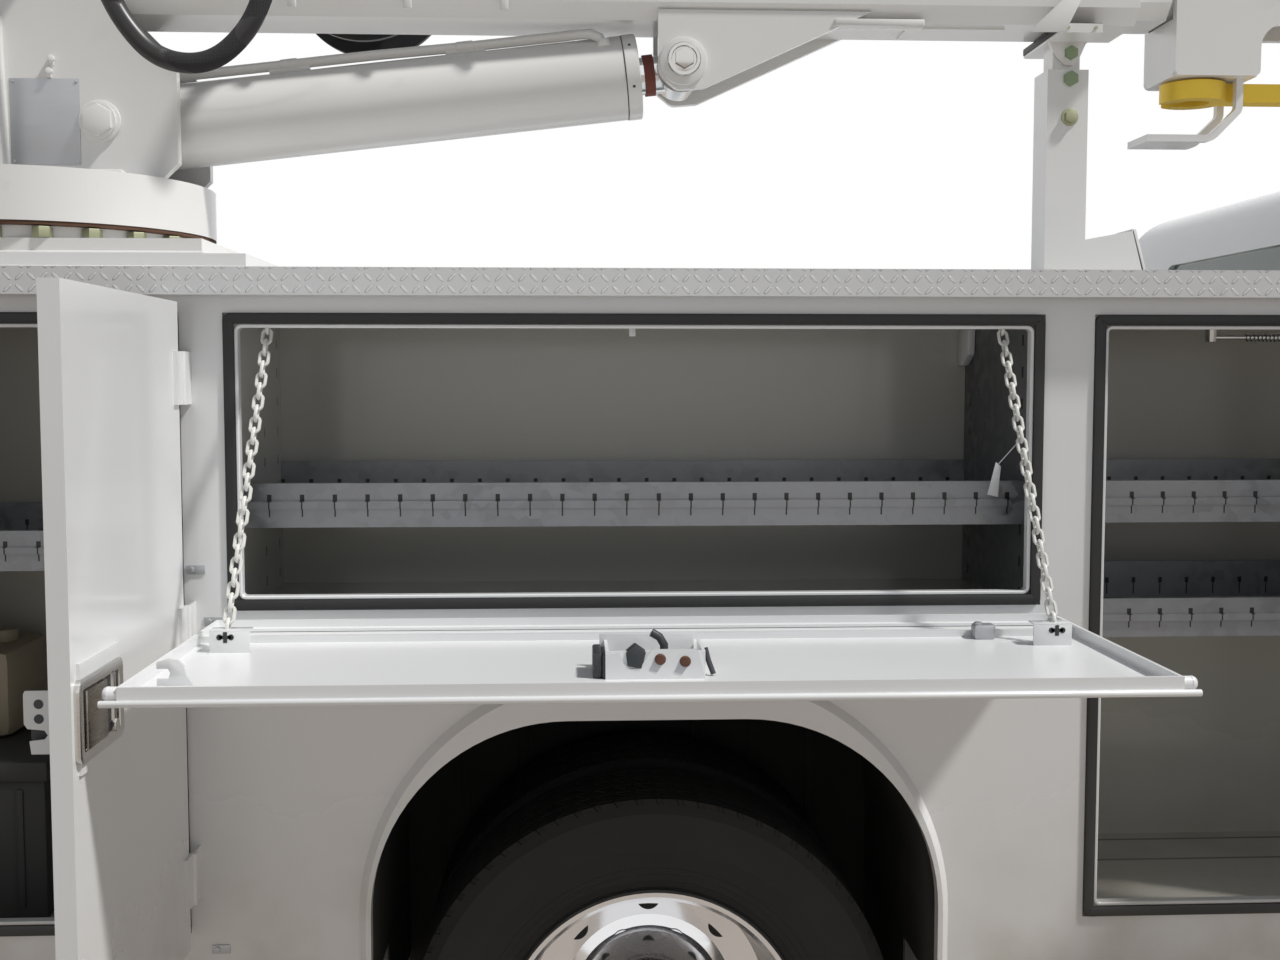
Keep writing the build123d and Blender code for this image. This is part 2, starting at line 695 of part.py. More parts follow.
def pack_cuts(side):
    """Planes that part a side pack into its panels."""
    frame_in = side_plane - sheet - inner_gap
    frame, walls = spread(side, frame_in, side_plane + 60), spread(side, pack_inner + sheet, frame_in)
    back = spread(side, pack_inner, pack_inner + sheet)
    rear_row, middle_row, front_row = (pack_opening(row) for row in ("rear", "middle", "front"))
    panel = middle_row[0]
    cuts = [(1, side * frame_in, everywhere, everywhere, everywhere),
            (1, side * (pack_inner + sheet), everywhere, spread(side, pack_inner, frame_in), everywhere),
            (2, deck_z - 60, everywhere, back, everywhere),
            (2, rear_row[1][1], everywhere, frame, everywhere),
            (2, rear_row[1][0], everywhere, frame, everywhere)]
    for (x0, x1), (z0, z1) in (rear_row, middle_row, front_row):
        ring = (x0 - wall_margin, x1 + wall_margin)
        cuts += [(2, z0 - 30 + sheet, ring, walls, everywhere), (2, z1 + 30 - sheet, ring, walls, everywhere)]
        cuts += [(0, x, everywhere, frame, rear_row[1]) for x in (x0, x1)]
    cuts += [(2, z, panel, frame, everywhere) for z in (middle_row[1][0] - 30, arch_top + 80)]
    cuts += [(0, rear_x + sign * x, panel, frame, (0, arch_top + 80)) for x in (450, 340, 230, 140) for sign in (-1, 1)]
    return cuts + [(1, side * side_plane, everywhere, frame, (arch_top + 81, 9999))]


for side_name, side in sides.items():
    with BuildPart() as pack:
        face = (side * (side_plane - sheet), side * side_plane)
        block((rear_x + body_rear, rear_x + body_front), face, (body_bottom, top_z - sheet))
        for row in opening_table:
            (x0, x1), (z0, z1) = pack_opening(row)
            outer = ((x0 - wall_margin, x1 + wall_margin), (side * pack_inner, side * (side_plane - sheet)),
                     (z0 - 30, z1 + 30))
            block(*outer)
            block((x0 - wall_margin + sheet, x1 + wall_margin - sheet),
                  (side * (pack_inner + sheet), side * (side_plane - sheet - inner_gap)), (z0 - 30 + sheet, z1 + 30 - sheet),
                  Mode.SUBTRACT)
            block((x0, x1), (side * (pack_inner + 60), side * (side_plane + 10)), (z0, z1), Mode.SUBTRACT)
        for x in (rear_x + body_rear, rear_x + body_front - sheet):
            block((x, x + sheet), (side * pack_inner, side * side_plane), (body_bottom, top_z - sheet))
        block((rear_x + body_rear, rear_x + body_front), (side * pack_inner, side * (pack_inner + sheet)),
              (deck_z - 60, top_z - sheet))
        arch = [(rear_x + a, b, r) for a, b, r in arch_rows]
        flare = [(rear_x + a, b, r) for a, b, r in flare_rows]
        loft([outline(flare, Plane.XZ.offset(-side * (side_plane - 2))).face(),
              outline(flare, Plane.XZ.offset(-side * (side_plane + flare_proud)), -14).face()], ruled=True)
        extrude(outline(arch, Plane.XZ.offset(-side * (side_plane - 20)), 0), amount=-side * 80, mode=Mode.SUBTRACT)
        block((rear_x - 700, rear_x + 700), (side * (side_plane - 60), side * (side_plane + 60)),
              (0, body_bottom), Mode.SUBTRACT)
        for row in ("rear", "front"):
            pin = hinge_x(row)
            for low in leaf_heights(row):
                block((pin - 0.5, pin + 2.5), (side * (side_plane - 1), side * (vertical_axis_y - hinge_radius - fit_gap)),
                      (low, low + leaf_length))
        block(drop_x, (side * (side_plane - 1), side * (drop_axis_y - hinge_radius - fit_gap)),
              (drop_axis_z - 1.5, drop_axis_z + 1.5))
        for end in (-1, 1):
            pin = chain_pins(side, end)[0]
            rod((pin.X - 14, pin.Y, pin.Z), (pin.X + 14, pin.Y, pin.Z), chain_pin_radius)
            for x in (pin.X - 14, pin.X + 10):
                block((x, x + 4), (pin.Y - 6, pin.Y + 6), (pin.Z - 5, drop_z1 + 5))
    finish(pack, f"side_pack_{side_name}", pack_cuts(side))

# Galvanised shelves inside the compartments, seated on their walls.
shelf_table = [
    # opening, z of the tray, lip height
    ("middle", 1258, 72),
    ("front", 1260, 70),
    ("front", 1067, 65),
    ("rear", 1190, 65),
]
with BuildPart() as shelves:
    for row, z, lip in shelf_table:
        (x0, x1), _ = pack_opening(row)
        x = (x0 - wall_margin + sheet + fit_gap, x1 + wall_margin - sheet - fit_gap)
        for side in sides.values():
            back, near = side * (pack_inner + sheet + 6), side * (side_plane - 110)
            block(x, (back, near), (z, z + 3))
            block(x, (near, near - side * 3), (z, z + lip))
            block(x, (near - side * 1, near + side * 5), (z + lip * 0.42, z + lip * 0.6))
            block(x, (near - side * 16, near), (z + lip - 3, z + lip))
            block(x, (back, back + side * 3), (z, z + lip + 15))
shelf_cuts = [(2, z + 3, pack_opening(row)[0], everywhere, everywhere) for row, z, _ in shelf_table]
finish(shelves, "shelves", shelf_cuts)

# Tread plate tops with folded edges.
with BuildPart() as top_plates:
    for side in sides.values():
        y_out = side * (side_plane + fold_out)
        block((rear_x + body_rear, rear_x + body_front), (side * pack_inner, y_out), (top_z - sheet, top_z))
        block((rear_x + body_rear, rear_x + body_front), (y_out - side * sheet, y_out), (top_z - fold_drop, top_z))
finish(top_plates, "top_plates")


def door_pan(x, y, z, face, depth, lip):
    """Door leaf with a raised lip: face is the axis and sign its open pan looks to."""
    block(x, y, z)
    spans = [list(sorted(x)), list(sorted(y)), list(sorted(z))]
    axis, sign = face
    for k in range(3):
        if k != axis:
            spans[k] = [spans[k][0] + lip, spans[k][1] - lip]
    if sign > 0:
        spans[axis][0] = spans[axis][1] - depth
        spans[axis][1] += 1
    else:
        spans[axis][1] = spans[axis][0] + depth
        spans[axis][0] -= 1
    block(*spans, mode=Mode.SUBTRACT)


# Vertical doors stand open at a right angle on hinges at their front edges.
latch_z = (1025, 1160)
for row in ("rear", "front"):
    (x0, x1), (z0, z1) = pack_opening(row)
    width = x1 - x0 + 2 * door_overlap
    pin_x = hinge_x(row)
    near = vertical_axis_y + hinge_radius
    for side_name, side in sides.items():
        with BuildPart() as body_door:
            x = (pin_x - hinge_radius - door_thickness, pin_x - hinge_radius)
            door_pan(x, (side * near, side * (near + width)), (z0 - door_overlap, z1 + door_overlap + 4), (0, -1), 20, 26)
            for low in leaf_heights(row):
                rod((pin_x, side * vertical_axis_y, low), (pin_x, side * vertical_axis_y, low + leaf_length), hinge_radius)
                block((pin_x - hinge_radius - 2, pin_x), (side * (vertical_axis_y + 1), side * (near + 30)),
                      (low, low + leaf_length))
            latch_y = near + width - 95
            block((x[1], x[1] + 4), (side * (latch_y - 75), side * (latch_y + 75)), latch_z)
        finish(body_door, f"{row}_door_{side_name}")

# Drop-down doors hang open level on their chains.
for side_name, side in sides.items():
    with BuildPart() as drop_door:
        y = (side * (drop_axis_y + drop_edge), side * (drop_axis_y + drop_edge + drop_height))
        door_pan(drop_x, y, (drop_top - drop_thickness, drop_top), (2, 1), drop_thickness - sheet, 5)
        roll_y = y[1] - side * drop_thickness / 2
        rod((drop_x[0] - roll_reach, roll_y, drop_top - drop_thickness / 2),
            (drop_x[1] + roll_reach, roll_y, drop_top - drop_thickness / 2), drop_thickness / 2 - 1)
        rod((drop_x[0], side * drop_axis_y, drop_axis_z), (drop_x[1], side * drop_axis_y, drop_axis_z), hinge_radius)
        block(drop_x, (side * drop_axis_y, side * (drop_axis_y + drop_edge + 20)), (drop_axis_z - 2, drop_axis_z + 2))
        block(drop_x, (side * (drop_axis_y + 110), side * (drop_axis_y + 122)), (drop_top - drop_thickness + 1, drop_top - 6))
        for end in (-1, 1):
            pin = chain_pins(side, end)[1]
            rod((pin.X - 16, pin.Y, pin.Z), (pin.X + 16, pin.Y, pin.Z), chain_pin_radius)
            for x in (pin.X - 16, pin.X + 11):
                block((x, x + 5), (pin.Y - 8, pin.Y + 8), (drop_top - drop_thickness + 1, pin.Z + 5))
        for x in (chain_mid - 64, chain_mid + 60):
            block((x, x + 4), (side * (drop_axis_y + 318), side * (drop_axis_y + 402)), (drop_top - drop_thickness + 1, drop_top + 20))
        block((chain_mid - 64, chain_mid + 64), (side * (drop_axis_y + 398), side * (drop_axis_y + 402)),
              (drop_top - drop_thickness + 1, drop_top + 20))
    finish(drop_door, f"drop_door_{side_name}")

# Chain links of square wire, each turned a quarter from the last.
for side_name, side in sides.items():
    with BuildPart() as chains:
        for end in (-1, 1):
            top, foot = chain_ends(side, end)
            run = foot - top
            count = 2 * int(run.length / link_pitch / 2) + 1
            inner = run.length / count + fit_gap
            for k in range(count):
                across = Vector(1, 0, 0) if k % 2 else Vector(0, 1, 0)
                place = Plane(origin=top + run * ((k + 0.5) / count), x_dir=run, z_dir=run.cross(across))
                with BuildSketch(place) as ring:
                    Rectangle(inner + 2 * link_wire, link_width)
                    Rectangle(inner, link_width - 2 * link_wire, mode=Mode.SUBTRACT)
                extrude(ring.sketch, amount=link_wire / 2, both=True)
    finish(chains, f"door_chains_{side_name}")

# Tailgate between the packs, hinged at its foot.
with BuildPart() as tailgate:
    x = (rear_x + body_rear + 4, rear_x + body_rear + 40)
    door_pan(x, (-pack_inner + move_gap, pack_inner - move_gap), (deck_z + move_gap, deck_z + 420), (0, -1), 16, 60)
finish(tailgate, "tailgate")

# Tail bumper: tread plate box with the receiver tube.
receiver_half = 32
receiver_bore = 25.7
receiver_z = 590
receiver_pin = 8.2
bumper_half = 1010
beam_z = (545, 665)
with BuildPart() as tail_bumper:
    block((tail_x, rear_x + body_rear - fit_gap), (-bumper_half, bumper_half), (deck_z - 240, deck_z - 40))
    block((tail_x + 6, rear_x + body_rear), (-bumper_half + 6, bumper_half - 6), (deck_z - 250, deck_z - 46), Mode.SUBTRACT)
    for side in sides.values():
        block((tail_x + 6, rear_x + body_rear - fit_gap), (side * 370, side * 430), (rail_bottom + 90, deck_z - 46))
finish(tail_bumper, "tail_bumper", [(2, deck_z - 46, everywhere, everywhere, everywhere),
                                    (0, tail_x + 6, everywhere, everywhere, everywhere)])

# Stabilizer cross beam with its leg sleeves, and the hitch receiver under it.
leg_x = rear_x + body_rear - 90
leg_y = 1085
leg_half = 46
sleeve_half = leg_half + 6 + run_gap
with BuildPart() as stabilizer_beam:
    block((leg_x - 60, leg_x + 60), (-leg_y, leg_y), beam_z)
    for side in sides.values():
        block((leg_x - sleeve_half, leg_x + sleeve_half), (side * leg_y - sleeve_half, side * leg_y + sleeve_half), (430, 1010))
        block((leg_x - leg_half - run_gap, leg_x + leg_half + run_gap),
              (side * leg_y - leg_half - run_gap, side * leg_y + leg_half + run_gap), (420, 1004), Mode.SUBTRACT)
        block((leg_x - 40, rail_rear + 200), (side * (rail_half_span + fit_gap), side * (rail_half_span + 14)), (beam_z[0], 760))
    block((tail_x + 10, leg_x), (-receiver_half, receiver_half), (receiver_z - receiver_half, receiver_z + receiver_half))
    block((tail_x, leg_x - 60), (-receiver_bore, receiver_bore), (receiver_z - receiver_bore, receiver_z + receiver_bore),
          Mode.SUBTRACT)
    xz_bore(tail_x + 70, receiver_z, receiver_pin, (-60, 60))
hitch_x = (tail_x, leg_x - 60)
beam_cuts = [(0, leg_x - 60, everywhere, everywhere, everywhere), (0, leg_x + 60, everywhere, everywhere, everywhere)]
beam_cuts += [(1, y, hitch_x, (-100, 100), everywhere) for y in (-receiver_bore, receiver_bore)]
beam_cuts += [(1, y, everywhere, everywhere, everywhere) for y in (sleeve_half - leg_y, leg_y - sleeve_half)]
beam_cuts += [(2, beam_z[1], everywhere, (-900, 900), everywhere)]
for side in sides.values():
    sleeve = spread(side, leg_y - sleeve_half, leg_y + sleeve_half)
    beam_cuts += [(2, 1004, everywhere, sleeve, everywhere)]
    beam_cuts += [(1, side * (leg_y + sign * (leg_half + run_gap)), everywhere, sleeve, everywhere) for sign in (-1, 1)]
finish(stabilizer_beam, "stabilizer_beam", beam_cuts)

foot_z = 368
for side_name, side in sides.items():
    with BuildPart() as leg:
        block((leg_x - leg_half, leg_x + leg_half), (side * leg_y - leg_half, side * leg_y + leg_half), (foot_z + 20, 990))
        rod((leg_x, side * leg_y, foot_z), (leg_x, side * leg_y, foot_z + 22), 125)
    finish(leg, f"stabilizer_leg_{side_name}")

with BuildPart() as tail_lamps:
    for side in sides.values():
        block((rear_x + body_rear - 24, rear_x + body_rear - fit_gap), (side * 780, side * 900), (1040, 1340))
finish(tail_lamps, "tail_lamps")

# Crane base: two plates on the body's top and the slewing ring.
plate_thickness = 24
ring_z = top_z + 2 * plate_thickness
drum_low = ring_z + 26
drum_high = 1824
with BuildPart() as crane_base:
    block((crane_centre_x - 410, crane_centre_x + 410), (crane_y - 285, crane_y + 275), (top_z, top_z + plate_thickness))
    block((crane_centre_x - 340, crane_centre_x + 340), (crane_y - 270, crane_y + 262), (top_z + plate_thickness, ring_z))
    rod((crane_centre_x, crane_y, ring_z), (crane_centre_x, crane_y, drum_low - run_gap), drum_radius - 18)
finish(crane_base, "crane_base")

turret_rows = [
    (-235, drum_high - 2, 0), (235, drum_high - 2, 0), (266, 1852, 0), (266, 2008, 0), (108, 2166, 30), (70, 2400, 60),
    (-180, 2400, 60), (-235, 2290, 40),
]
rib_rows = [(-44, drum_high - 2, 0), (-4, drum_high - 2, 0), (-12, 2092, 10), (-36, 2092, 10)]
half_gap = turret_gap / 2

# Hydraulic hose in its sleeve: out of the turret's plate, down in a loop and up into the boom's side.
hose_radius = 16
hose_start = (crane_centre_x + 60, crane_y - half_gap - turret_plate - 24, 2215)
hose_end = (crane_centre_x + 436, crane_y - boom_width / 2 - 24, 2200)
hose_route = [
    hose_start, (crane_centre_x + 60, -1068, 2215), (crane_centre_x + 112, -1096, 2192),
    (crane_centre_x + 176, -1102, 2130), (crane_centre_x + 208, -1102, 2058), (crane_centre_x + 262, -1100, 1998),
    (crane_centre_x + 342, -1098, 1992), (crane_centre_x + 402, -1094, 2046), (crane_centre_x + 432, -1092, 2118),
    (crane_centre_x + 437, -1080, 2166), (crane_centre_x + 436, -1050, 2200), hose_end,
]
hose_share = 0.45


def cord_radii(points):
    """Arc radius at each inner point of a cord's route."""
    radii = []
    for before, here, after in zip(points, points[1:], points[2:]):
        back, ahead = Vector(*here) - Vector(*before), Vector(*after) - Vector(*here)
        radii.append(hose_share * min(back.length, ahead.length) / tan(radians(back.get_angle(ahead) / 2)))
    return radii


with BuildPart() as crane_hose:
    with BuildLine() as route:
        FilletPolyline(*hose_route, radius=cord_radii(hose_route))
    with BuildSketch(Plane(origin=hose_start, z_dir=(0, -1, 0))) as section:
        Circle(hose_radius)
    sweep(section.sketch, path=route.wires()[0])
finish(crane_hose, "crane_hose")
print("hose radii", [round(r) for r in cord_radii(hose_route)], "length", round(route.wires()[0].length))

with BuildPart() as turret:
    rod((crane_centre_x, crane_y, drum_low), (crane_centre_x, crane_y, drum_high), drum_radius)
    for side in sides.values():
        y = (crane_y + side * half_gap, crane_y + side * (half_gap + turret_plate))
        side_prism([(crane_centre_x + a, b, r) for a, b, r in turret_rows], y)
        side_prism([(crane_centre_x + a, b, r) for a, b, r in rib_rows], (y[1] - side * 1, y[1] + side * 34))
    block((crane_centre_x - 235, crane_centre_x - 215), (crane_y - half_gap, crane_y + half_gap), (drum_high - 2, 2130))
    for x, z in ((boom_pivot_x, pivot_z), (crane_centre_x + base_pin[0], base_pin[1])):
        xz_bore(x, z, 28, (crane_y - half_gap - turret_plate - 14, crane_y + half_gap + turret_plate + 14), Mode.ADD)
    rod((hose_start[0], crane_y - half_gap - turret_plate + 1, hose_start[2]), hose_start, hose_radius + 4)
finish(turret, "turret")

# Boom sections: six-sided tubes, one inside the other.
def boom_section(width, height):
    """Rows of a six-sided section about the boom's centre line."""
    low, high = boom_bottom + (boom_height - height) / 2, boom_bottom + (boom_height + height) / 2
    left, right = crane_y - width / 2, crane_y + width / 2
    return [(left + boom_chamfer, low, 0), (right - boom_chamfer, low, 0), (right, low + boom_chamfer, 0),
            (right, high, 8), (left, high, 8), (left, low + boom_chamfer, 0)]


def boom_tube(x0, x1, size, inner):
    """Six-sided tube along x with a wear collar at its mouth that guides the inner section."""
    rows = boom_section(*size)
    extrude(outline(rows, Plane.YZ.offset(x0)), amount=x1 - x0)
    extrude(outline(rows, Plane.YZ.offset(x0), -boom_wall), amount=x1 - x0 - collar_length, mode=Mode.SUBTRACT)
    extrude(outline(boom_section(*inner), Plane.YZ.offset(x0), fit_gap), amount=x1 - x0, mode=Mode.SUBTRACT)


boom_rear = crane_centre_x - 170
outer_end = crane_centre_x + 1880
collar_length = 60
stage_step = 2 * (boom_wall + stage_gap)
outer_size = (boom_width, boom_height)
stage_size = (boom_width - stage_step, boom_height - stage_step)
tip_size = (boom_width - 2 * stage_step, boom_height - 2 * stage_step)
tip_width = tip_size[0]
rod_x, rod_z = crane_centre_x + rod_pin[0], rod_pin[1]
bracket_half = 80
with BuildPart() as boom_outer:
    boom_tube(boom_rear, outer_end, outer_size, stage_size)
    for side in sides.values():
        y = (crane_y + side * (bracket_half - 16), crane_y + side * bracket_half)
        rows = [(rod_x - 42, boom_bottom + 14, 0), (rod_x - 42, rod_z - 20, 20), (rod_x - 10, rod_z - 46, 20),
                (rod_x + 36, rod_z - 42, 20), (rod_x + 320, boom_bottom + 14, 0)]
        side_prism(rows, y)
        pin_out = crane_y + side * (bracket_half + 22)
        rod((rod_x, crane_y + side * (bracket_half - 4), rod_z), (rod_x, pin_out, rod_z), 24)
    xz_bore(boom_pivot_x, pivot_z, 28 + run_gap, (crane_y - 200, crane_y + 200))
    block((rod_x + 390, rod_x + 560), (crane_y - 40, crane_y + 40), (boom_bottom - 4, boom_bottom + 2))
    rod((hose_end[0], crane_y - boom_width / 2 + 1, hose_end[2]), hose_end, hose_radius + 4)
finish(boom_outer, "boom_outer")

with BuildPart() as boom_stage:
    boom_tube(crane_centre_x + 60, outer_end + 60, stage_size, tip_size)
finish(boom_stage, "boom_stage")

tip_end = crane_centre_x + 2350
box_rear = crane_centre_x + 1950
box_bottom = 2022
sheave_radius = 70
sheave_x = tip_end - 90
tube_end = tip_end - 176
with BuildPart() as boom_tip:
    extrude(outline(boom_section(*tip_size), Plane.YZ.offset(crane_centre_x + 100)),
            amount=tube_end - crane_centre_x - 100)
    for side in sides.values():
        y = (crane_y + side * (tip_width / 2 - 6), crane_y + side * (tip_width / 2 + 10))
        rows = [(box_rear, box_bottom, 10), (box_rear + 150, box_bottom, 10), (box_rear + 150, 2110, 40),
                (tip_end - 30, 2110, 40), (tip_end, 2150, 20), (tip_end, 2240, 50), (tip_end - 90, 2300, 30),
                (box_rear, 2300, 10)]
        side_prism(rows, y)
    block((box_rear, box_rear + 14), (crane_y - tip_width / 2, crane_y + tip_width / 2), (box_bottom, 2120))
    block((box_rear, box_rear + 148), (crane_y - tip_width / 2, crane_y + tip_width / 2), (box_bottom, box_bottom + 12))
    rod((sheave_x, crane_y - tip_width / 2, 2190), (sheave_x, crane_y + tip_width / 2, 2190), sheave_radius)
    rows = [(box_rear - 37, 1913, 0), (box_rear + 80, 1913, 30), (box_rear + 132, 1966, 20),
            (box_rear + 132, box_bottom + 2, 0), (box_rear + 120, box_bottom + 2, 0), (box_rear + 120, 1970, 14),
            (box_rear + 74, 1925, 22), (box_rear - 37, 1925, 0)]
    for y in (crane_y - 44, crane_y + 30):
        side_prism(rows, (y, y + 14))
    block((box_rear - 37, box_rear + 60), (crane_y - 44, crane_y + 44), (1913, 1925))
finish(boom_tip, "boom_tip")

# Forged hook, drawn up flat between the keeper's straps by the rope's end on the sheave.
hook_x = box_rear + 60
hook_z = (1986, box_bottom - 4)
rope_x = sheave_x - sheave_radius - 5 - fit_gap
with BuildPart() as hook:
    with BuildSketch(Plane.XY.offset(hook_z[0])) as throat:
        with Locations((hook_x, crane_y)):
            Circle(56)
            Circle(29, mode=Mode.SUBTRACT)
        with Locations((hook_x - 45, crane_y + 24)):
            Rectangle(60, 34, rotation=-35, mode=Mode.SUBTRACT)
        with Locations(((hook_x + 46 + rope_x + 14) / 2, crane_y)):
            Rectangle(rope_x + 14 - hook_x - 46, 38)
    extrude(throat.sketch, amount=hook_z[1] - hook_z[0])
    rod((rope_x, crane_y, hook_z[0] + 4), (rope_x, crane_y, 2190), 5)
    rod((rope_x, crane_y, hook_z[0] + 4), (rope_x, crane_y, hook_z[1] + 46), 11)
finish(hook, "hook")

# Winch drum on the boom's inner side.
winch_x = crane_centre_x + 540
winch_z = boom_bottom + 145
with BuildPart() as winch:
    y0 = crane_y + boom_width / 2 + fit_gap
    rod((winch_x, y0, winch_z), (winch_x, y0 + 12, winch_z), 150)
    rod((winch_x, y0, winch_z), (winch_x, y0 + 150, winch_z), 80)
    rod((winch_x, y0 + 138, winch_z), (winch_x, y0 + 150, winch_z), 150)
finish(winch, "winch")

# Lift cylinder: barrel on the turret's base pin and rod to the boom bracket.
base_x, base_z = crane_centre_x + base_pin[0], base_pin[1]
cylinder_run = hypot(rod_x - base_x, rod_z - base_z)
cylinder_angle = degrees(atan2(rod_z - base_z, rod_x - base_x))
eye_radius = 42
mouth = cylinder_run - 75


def along(distance):
    """Point on the cylinder's centre line at a distance from the base pin."""
    return (base_x + distance * cos(radians(cylinder_angle)), crane_y, base_z + distance * sin(radians(cylinder_angle)))


with BuildPart() as lift_barrel:
    rod(along(30), along(mouth), barrel_radius)
    xz_bore(base_x, base_z, 60, (crane_y - 60, crane_y + 60), Mode.ADD)
    rod(along(120), along(mouth + 5), rod_radius + run_gap, Mode.SUBTRACT)
    xz_bore(base_x, base_z, 28 + run_gap, (crane_y - 100, crane_y + 100))
finish(lift_barrel, "lift_barrel")

with BuildPart() as lift_rod:
    rod(along(130), along(cylinder_run - 20), rod_radius)
    xz_bore(rod_x, rod_z, eye_radius, (crane_y - 40, crane_y + 40), Mode.ADD)
    xz_bore(rod_x, rod_z, 24 + run_gap, (crane_y - 60, crane_y + 60))
finish(lift_rod, "lift_rod")

# Boom rest: square post with a saddle pad just clear of the boom.
rest_x = rear_x + 732
post_half = 36
head_half = 24
with BuildPart() as boom_rest:
    block((rest_x - post_half, rest_x + post_half), (crane_y - post_half, crane_y + post_half), (top_z, 2036))
    block((rest_x - head_half, rest_x + head_half), (crane_y - head_half, crane_y + head_half), (2030, 2086))
    block((rest_x - post_half, rest_x + post_half), (crane_y - 100, crane_y + 100), (2084, boom_bottom - move_gap))
    block((rest_x - post_half - 10, rest_x + 150), (crane_y - 90, crane_y + 90), (top_z, top_z + 12))
    side_prism([(rest_x + post_half - 1, top_z + 10, 0), (rest_x + 145, top_z + 10, 0), (rest_x + 122, top_z + 92, 0),
                (rest_x + post_half - 1, top_z + 76, 0)], (crane_y - post_half, crane_y + post_half))
finish(boom_rest, "boom_rest")
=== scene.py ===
"""Looks of a service crane truck with its compartments open: finishes, trim, chains, hoses and hardware."""

import logging
import math
from contextlib import AbstractContextManager, contextmanager
from dataclasses import dataclass, field
from enum import Enum
from functools import cache, reduce
from typing import Callable, Iterable, Iterator, Sequence

import bmesh
import bpy
from mathutils import Matrix, Vector


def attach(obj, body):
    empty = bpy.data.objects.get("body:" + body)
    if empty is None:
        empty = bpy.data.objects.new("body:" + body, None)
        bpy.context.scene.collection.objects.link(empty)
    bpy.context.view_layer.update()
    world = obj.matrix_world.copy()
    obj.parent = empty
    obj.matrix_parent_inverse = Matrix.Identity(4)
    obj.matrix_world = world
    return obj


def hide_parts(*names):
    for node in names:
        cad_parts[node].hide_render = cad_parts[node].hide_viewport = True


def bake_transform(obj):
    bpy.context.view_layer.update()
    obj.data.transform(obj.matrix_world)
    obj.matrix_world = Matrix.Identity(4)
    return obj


log = logging.getLogger("service_truck")
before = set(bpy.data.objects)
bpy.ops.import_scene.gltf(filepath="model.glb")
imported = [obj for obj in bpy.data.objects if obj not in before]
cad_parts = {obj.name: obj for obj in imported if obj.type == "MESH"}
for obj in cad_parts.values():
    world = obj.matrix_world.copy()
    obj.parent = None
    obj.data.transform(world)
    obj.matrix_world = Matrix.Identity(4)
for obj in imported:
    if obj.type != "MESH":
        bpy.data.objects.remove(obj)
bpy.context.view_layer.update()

Point = Sequence[float]
Span = tuple[float, float]
Colour = tuple[float, float, float]

REAR_AXLE_X = -1.4575
FRONT_AXLE_X = 2.2425
WHEEL_Z = 0.405
SIDE_PLANE = 1.195
CRANE_X = REAR_AXLE_X - 1.042
CRANE_Y = -0.895
DOOR_MIDDLE = REAR_AXLE_X - 0.027
CHAIN_FOOT = 0.592
KEYHOLE_PITCH = 0.053
MERGE = 1e-6
COARSE, FINE, RING = 40, 64, 96
SPRING_TURNS, ROPE_TURNS, BEARING_BOLTS = 26, 24, 24
CHAIN_STEPS, WIRE_SIDES, HEXAGON = 12, 6, 6


class Side(Enum):
    """A side of the truck and the sign of its y."""

    LEFT = 1
    RIGHT = -1

    @property
    def label(self) -> str:
        """Lower-case name used in node and body names."""
        return self.name.lower()


def operator(operation: str) -> Callable[..., "Value"]:
    """A method that adds one Math node to a value."""
    return lambda value, other=0.0: value.graph.math(operation, value, other)


class Value:
    """A node's output. Arithmetic on it adds Math nodes."""

    __add__, __sub__, __mul__, __truediv__ = map(operator, ("ADD", "SUBTRACT", "MULTIPLY", "DIVIDE"))
    __gt__, __lt__, __abs__ = map(operator, ("GREATER_THAN", "LESS_THAN", "ABSOLUTE"))

    def __init__(self, graph: "Graph", socket: bpy.types.NodeSocket) -> None:
        """Keep the socket and the graph that further nodes go to."""
        self.graph, self.socket = graph, socket

    def __rsub__(self, other: float) -> "Value":
        """Difference from a number."""
        return self.graph.math("SUBTRACT", other, self)

    def off_beat(self) -> "Value":
        """Signed distance from the middle of each whole step."""
        return self.graph.math("FRACT", self) - 0.5


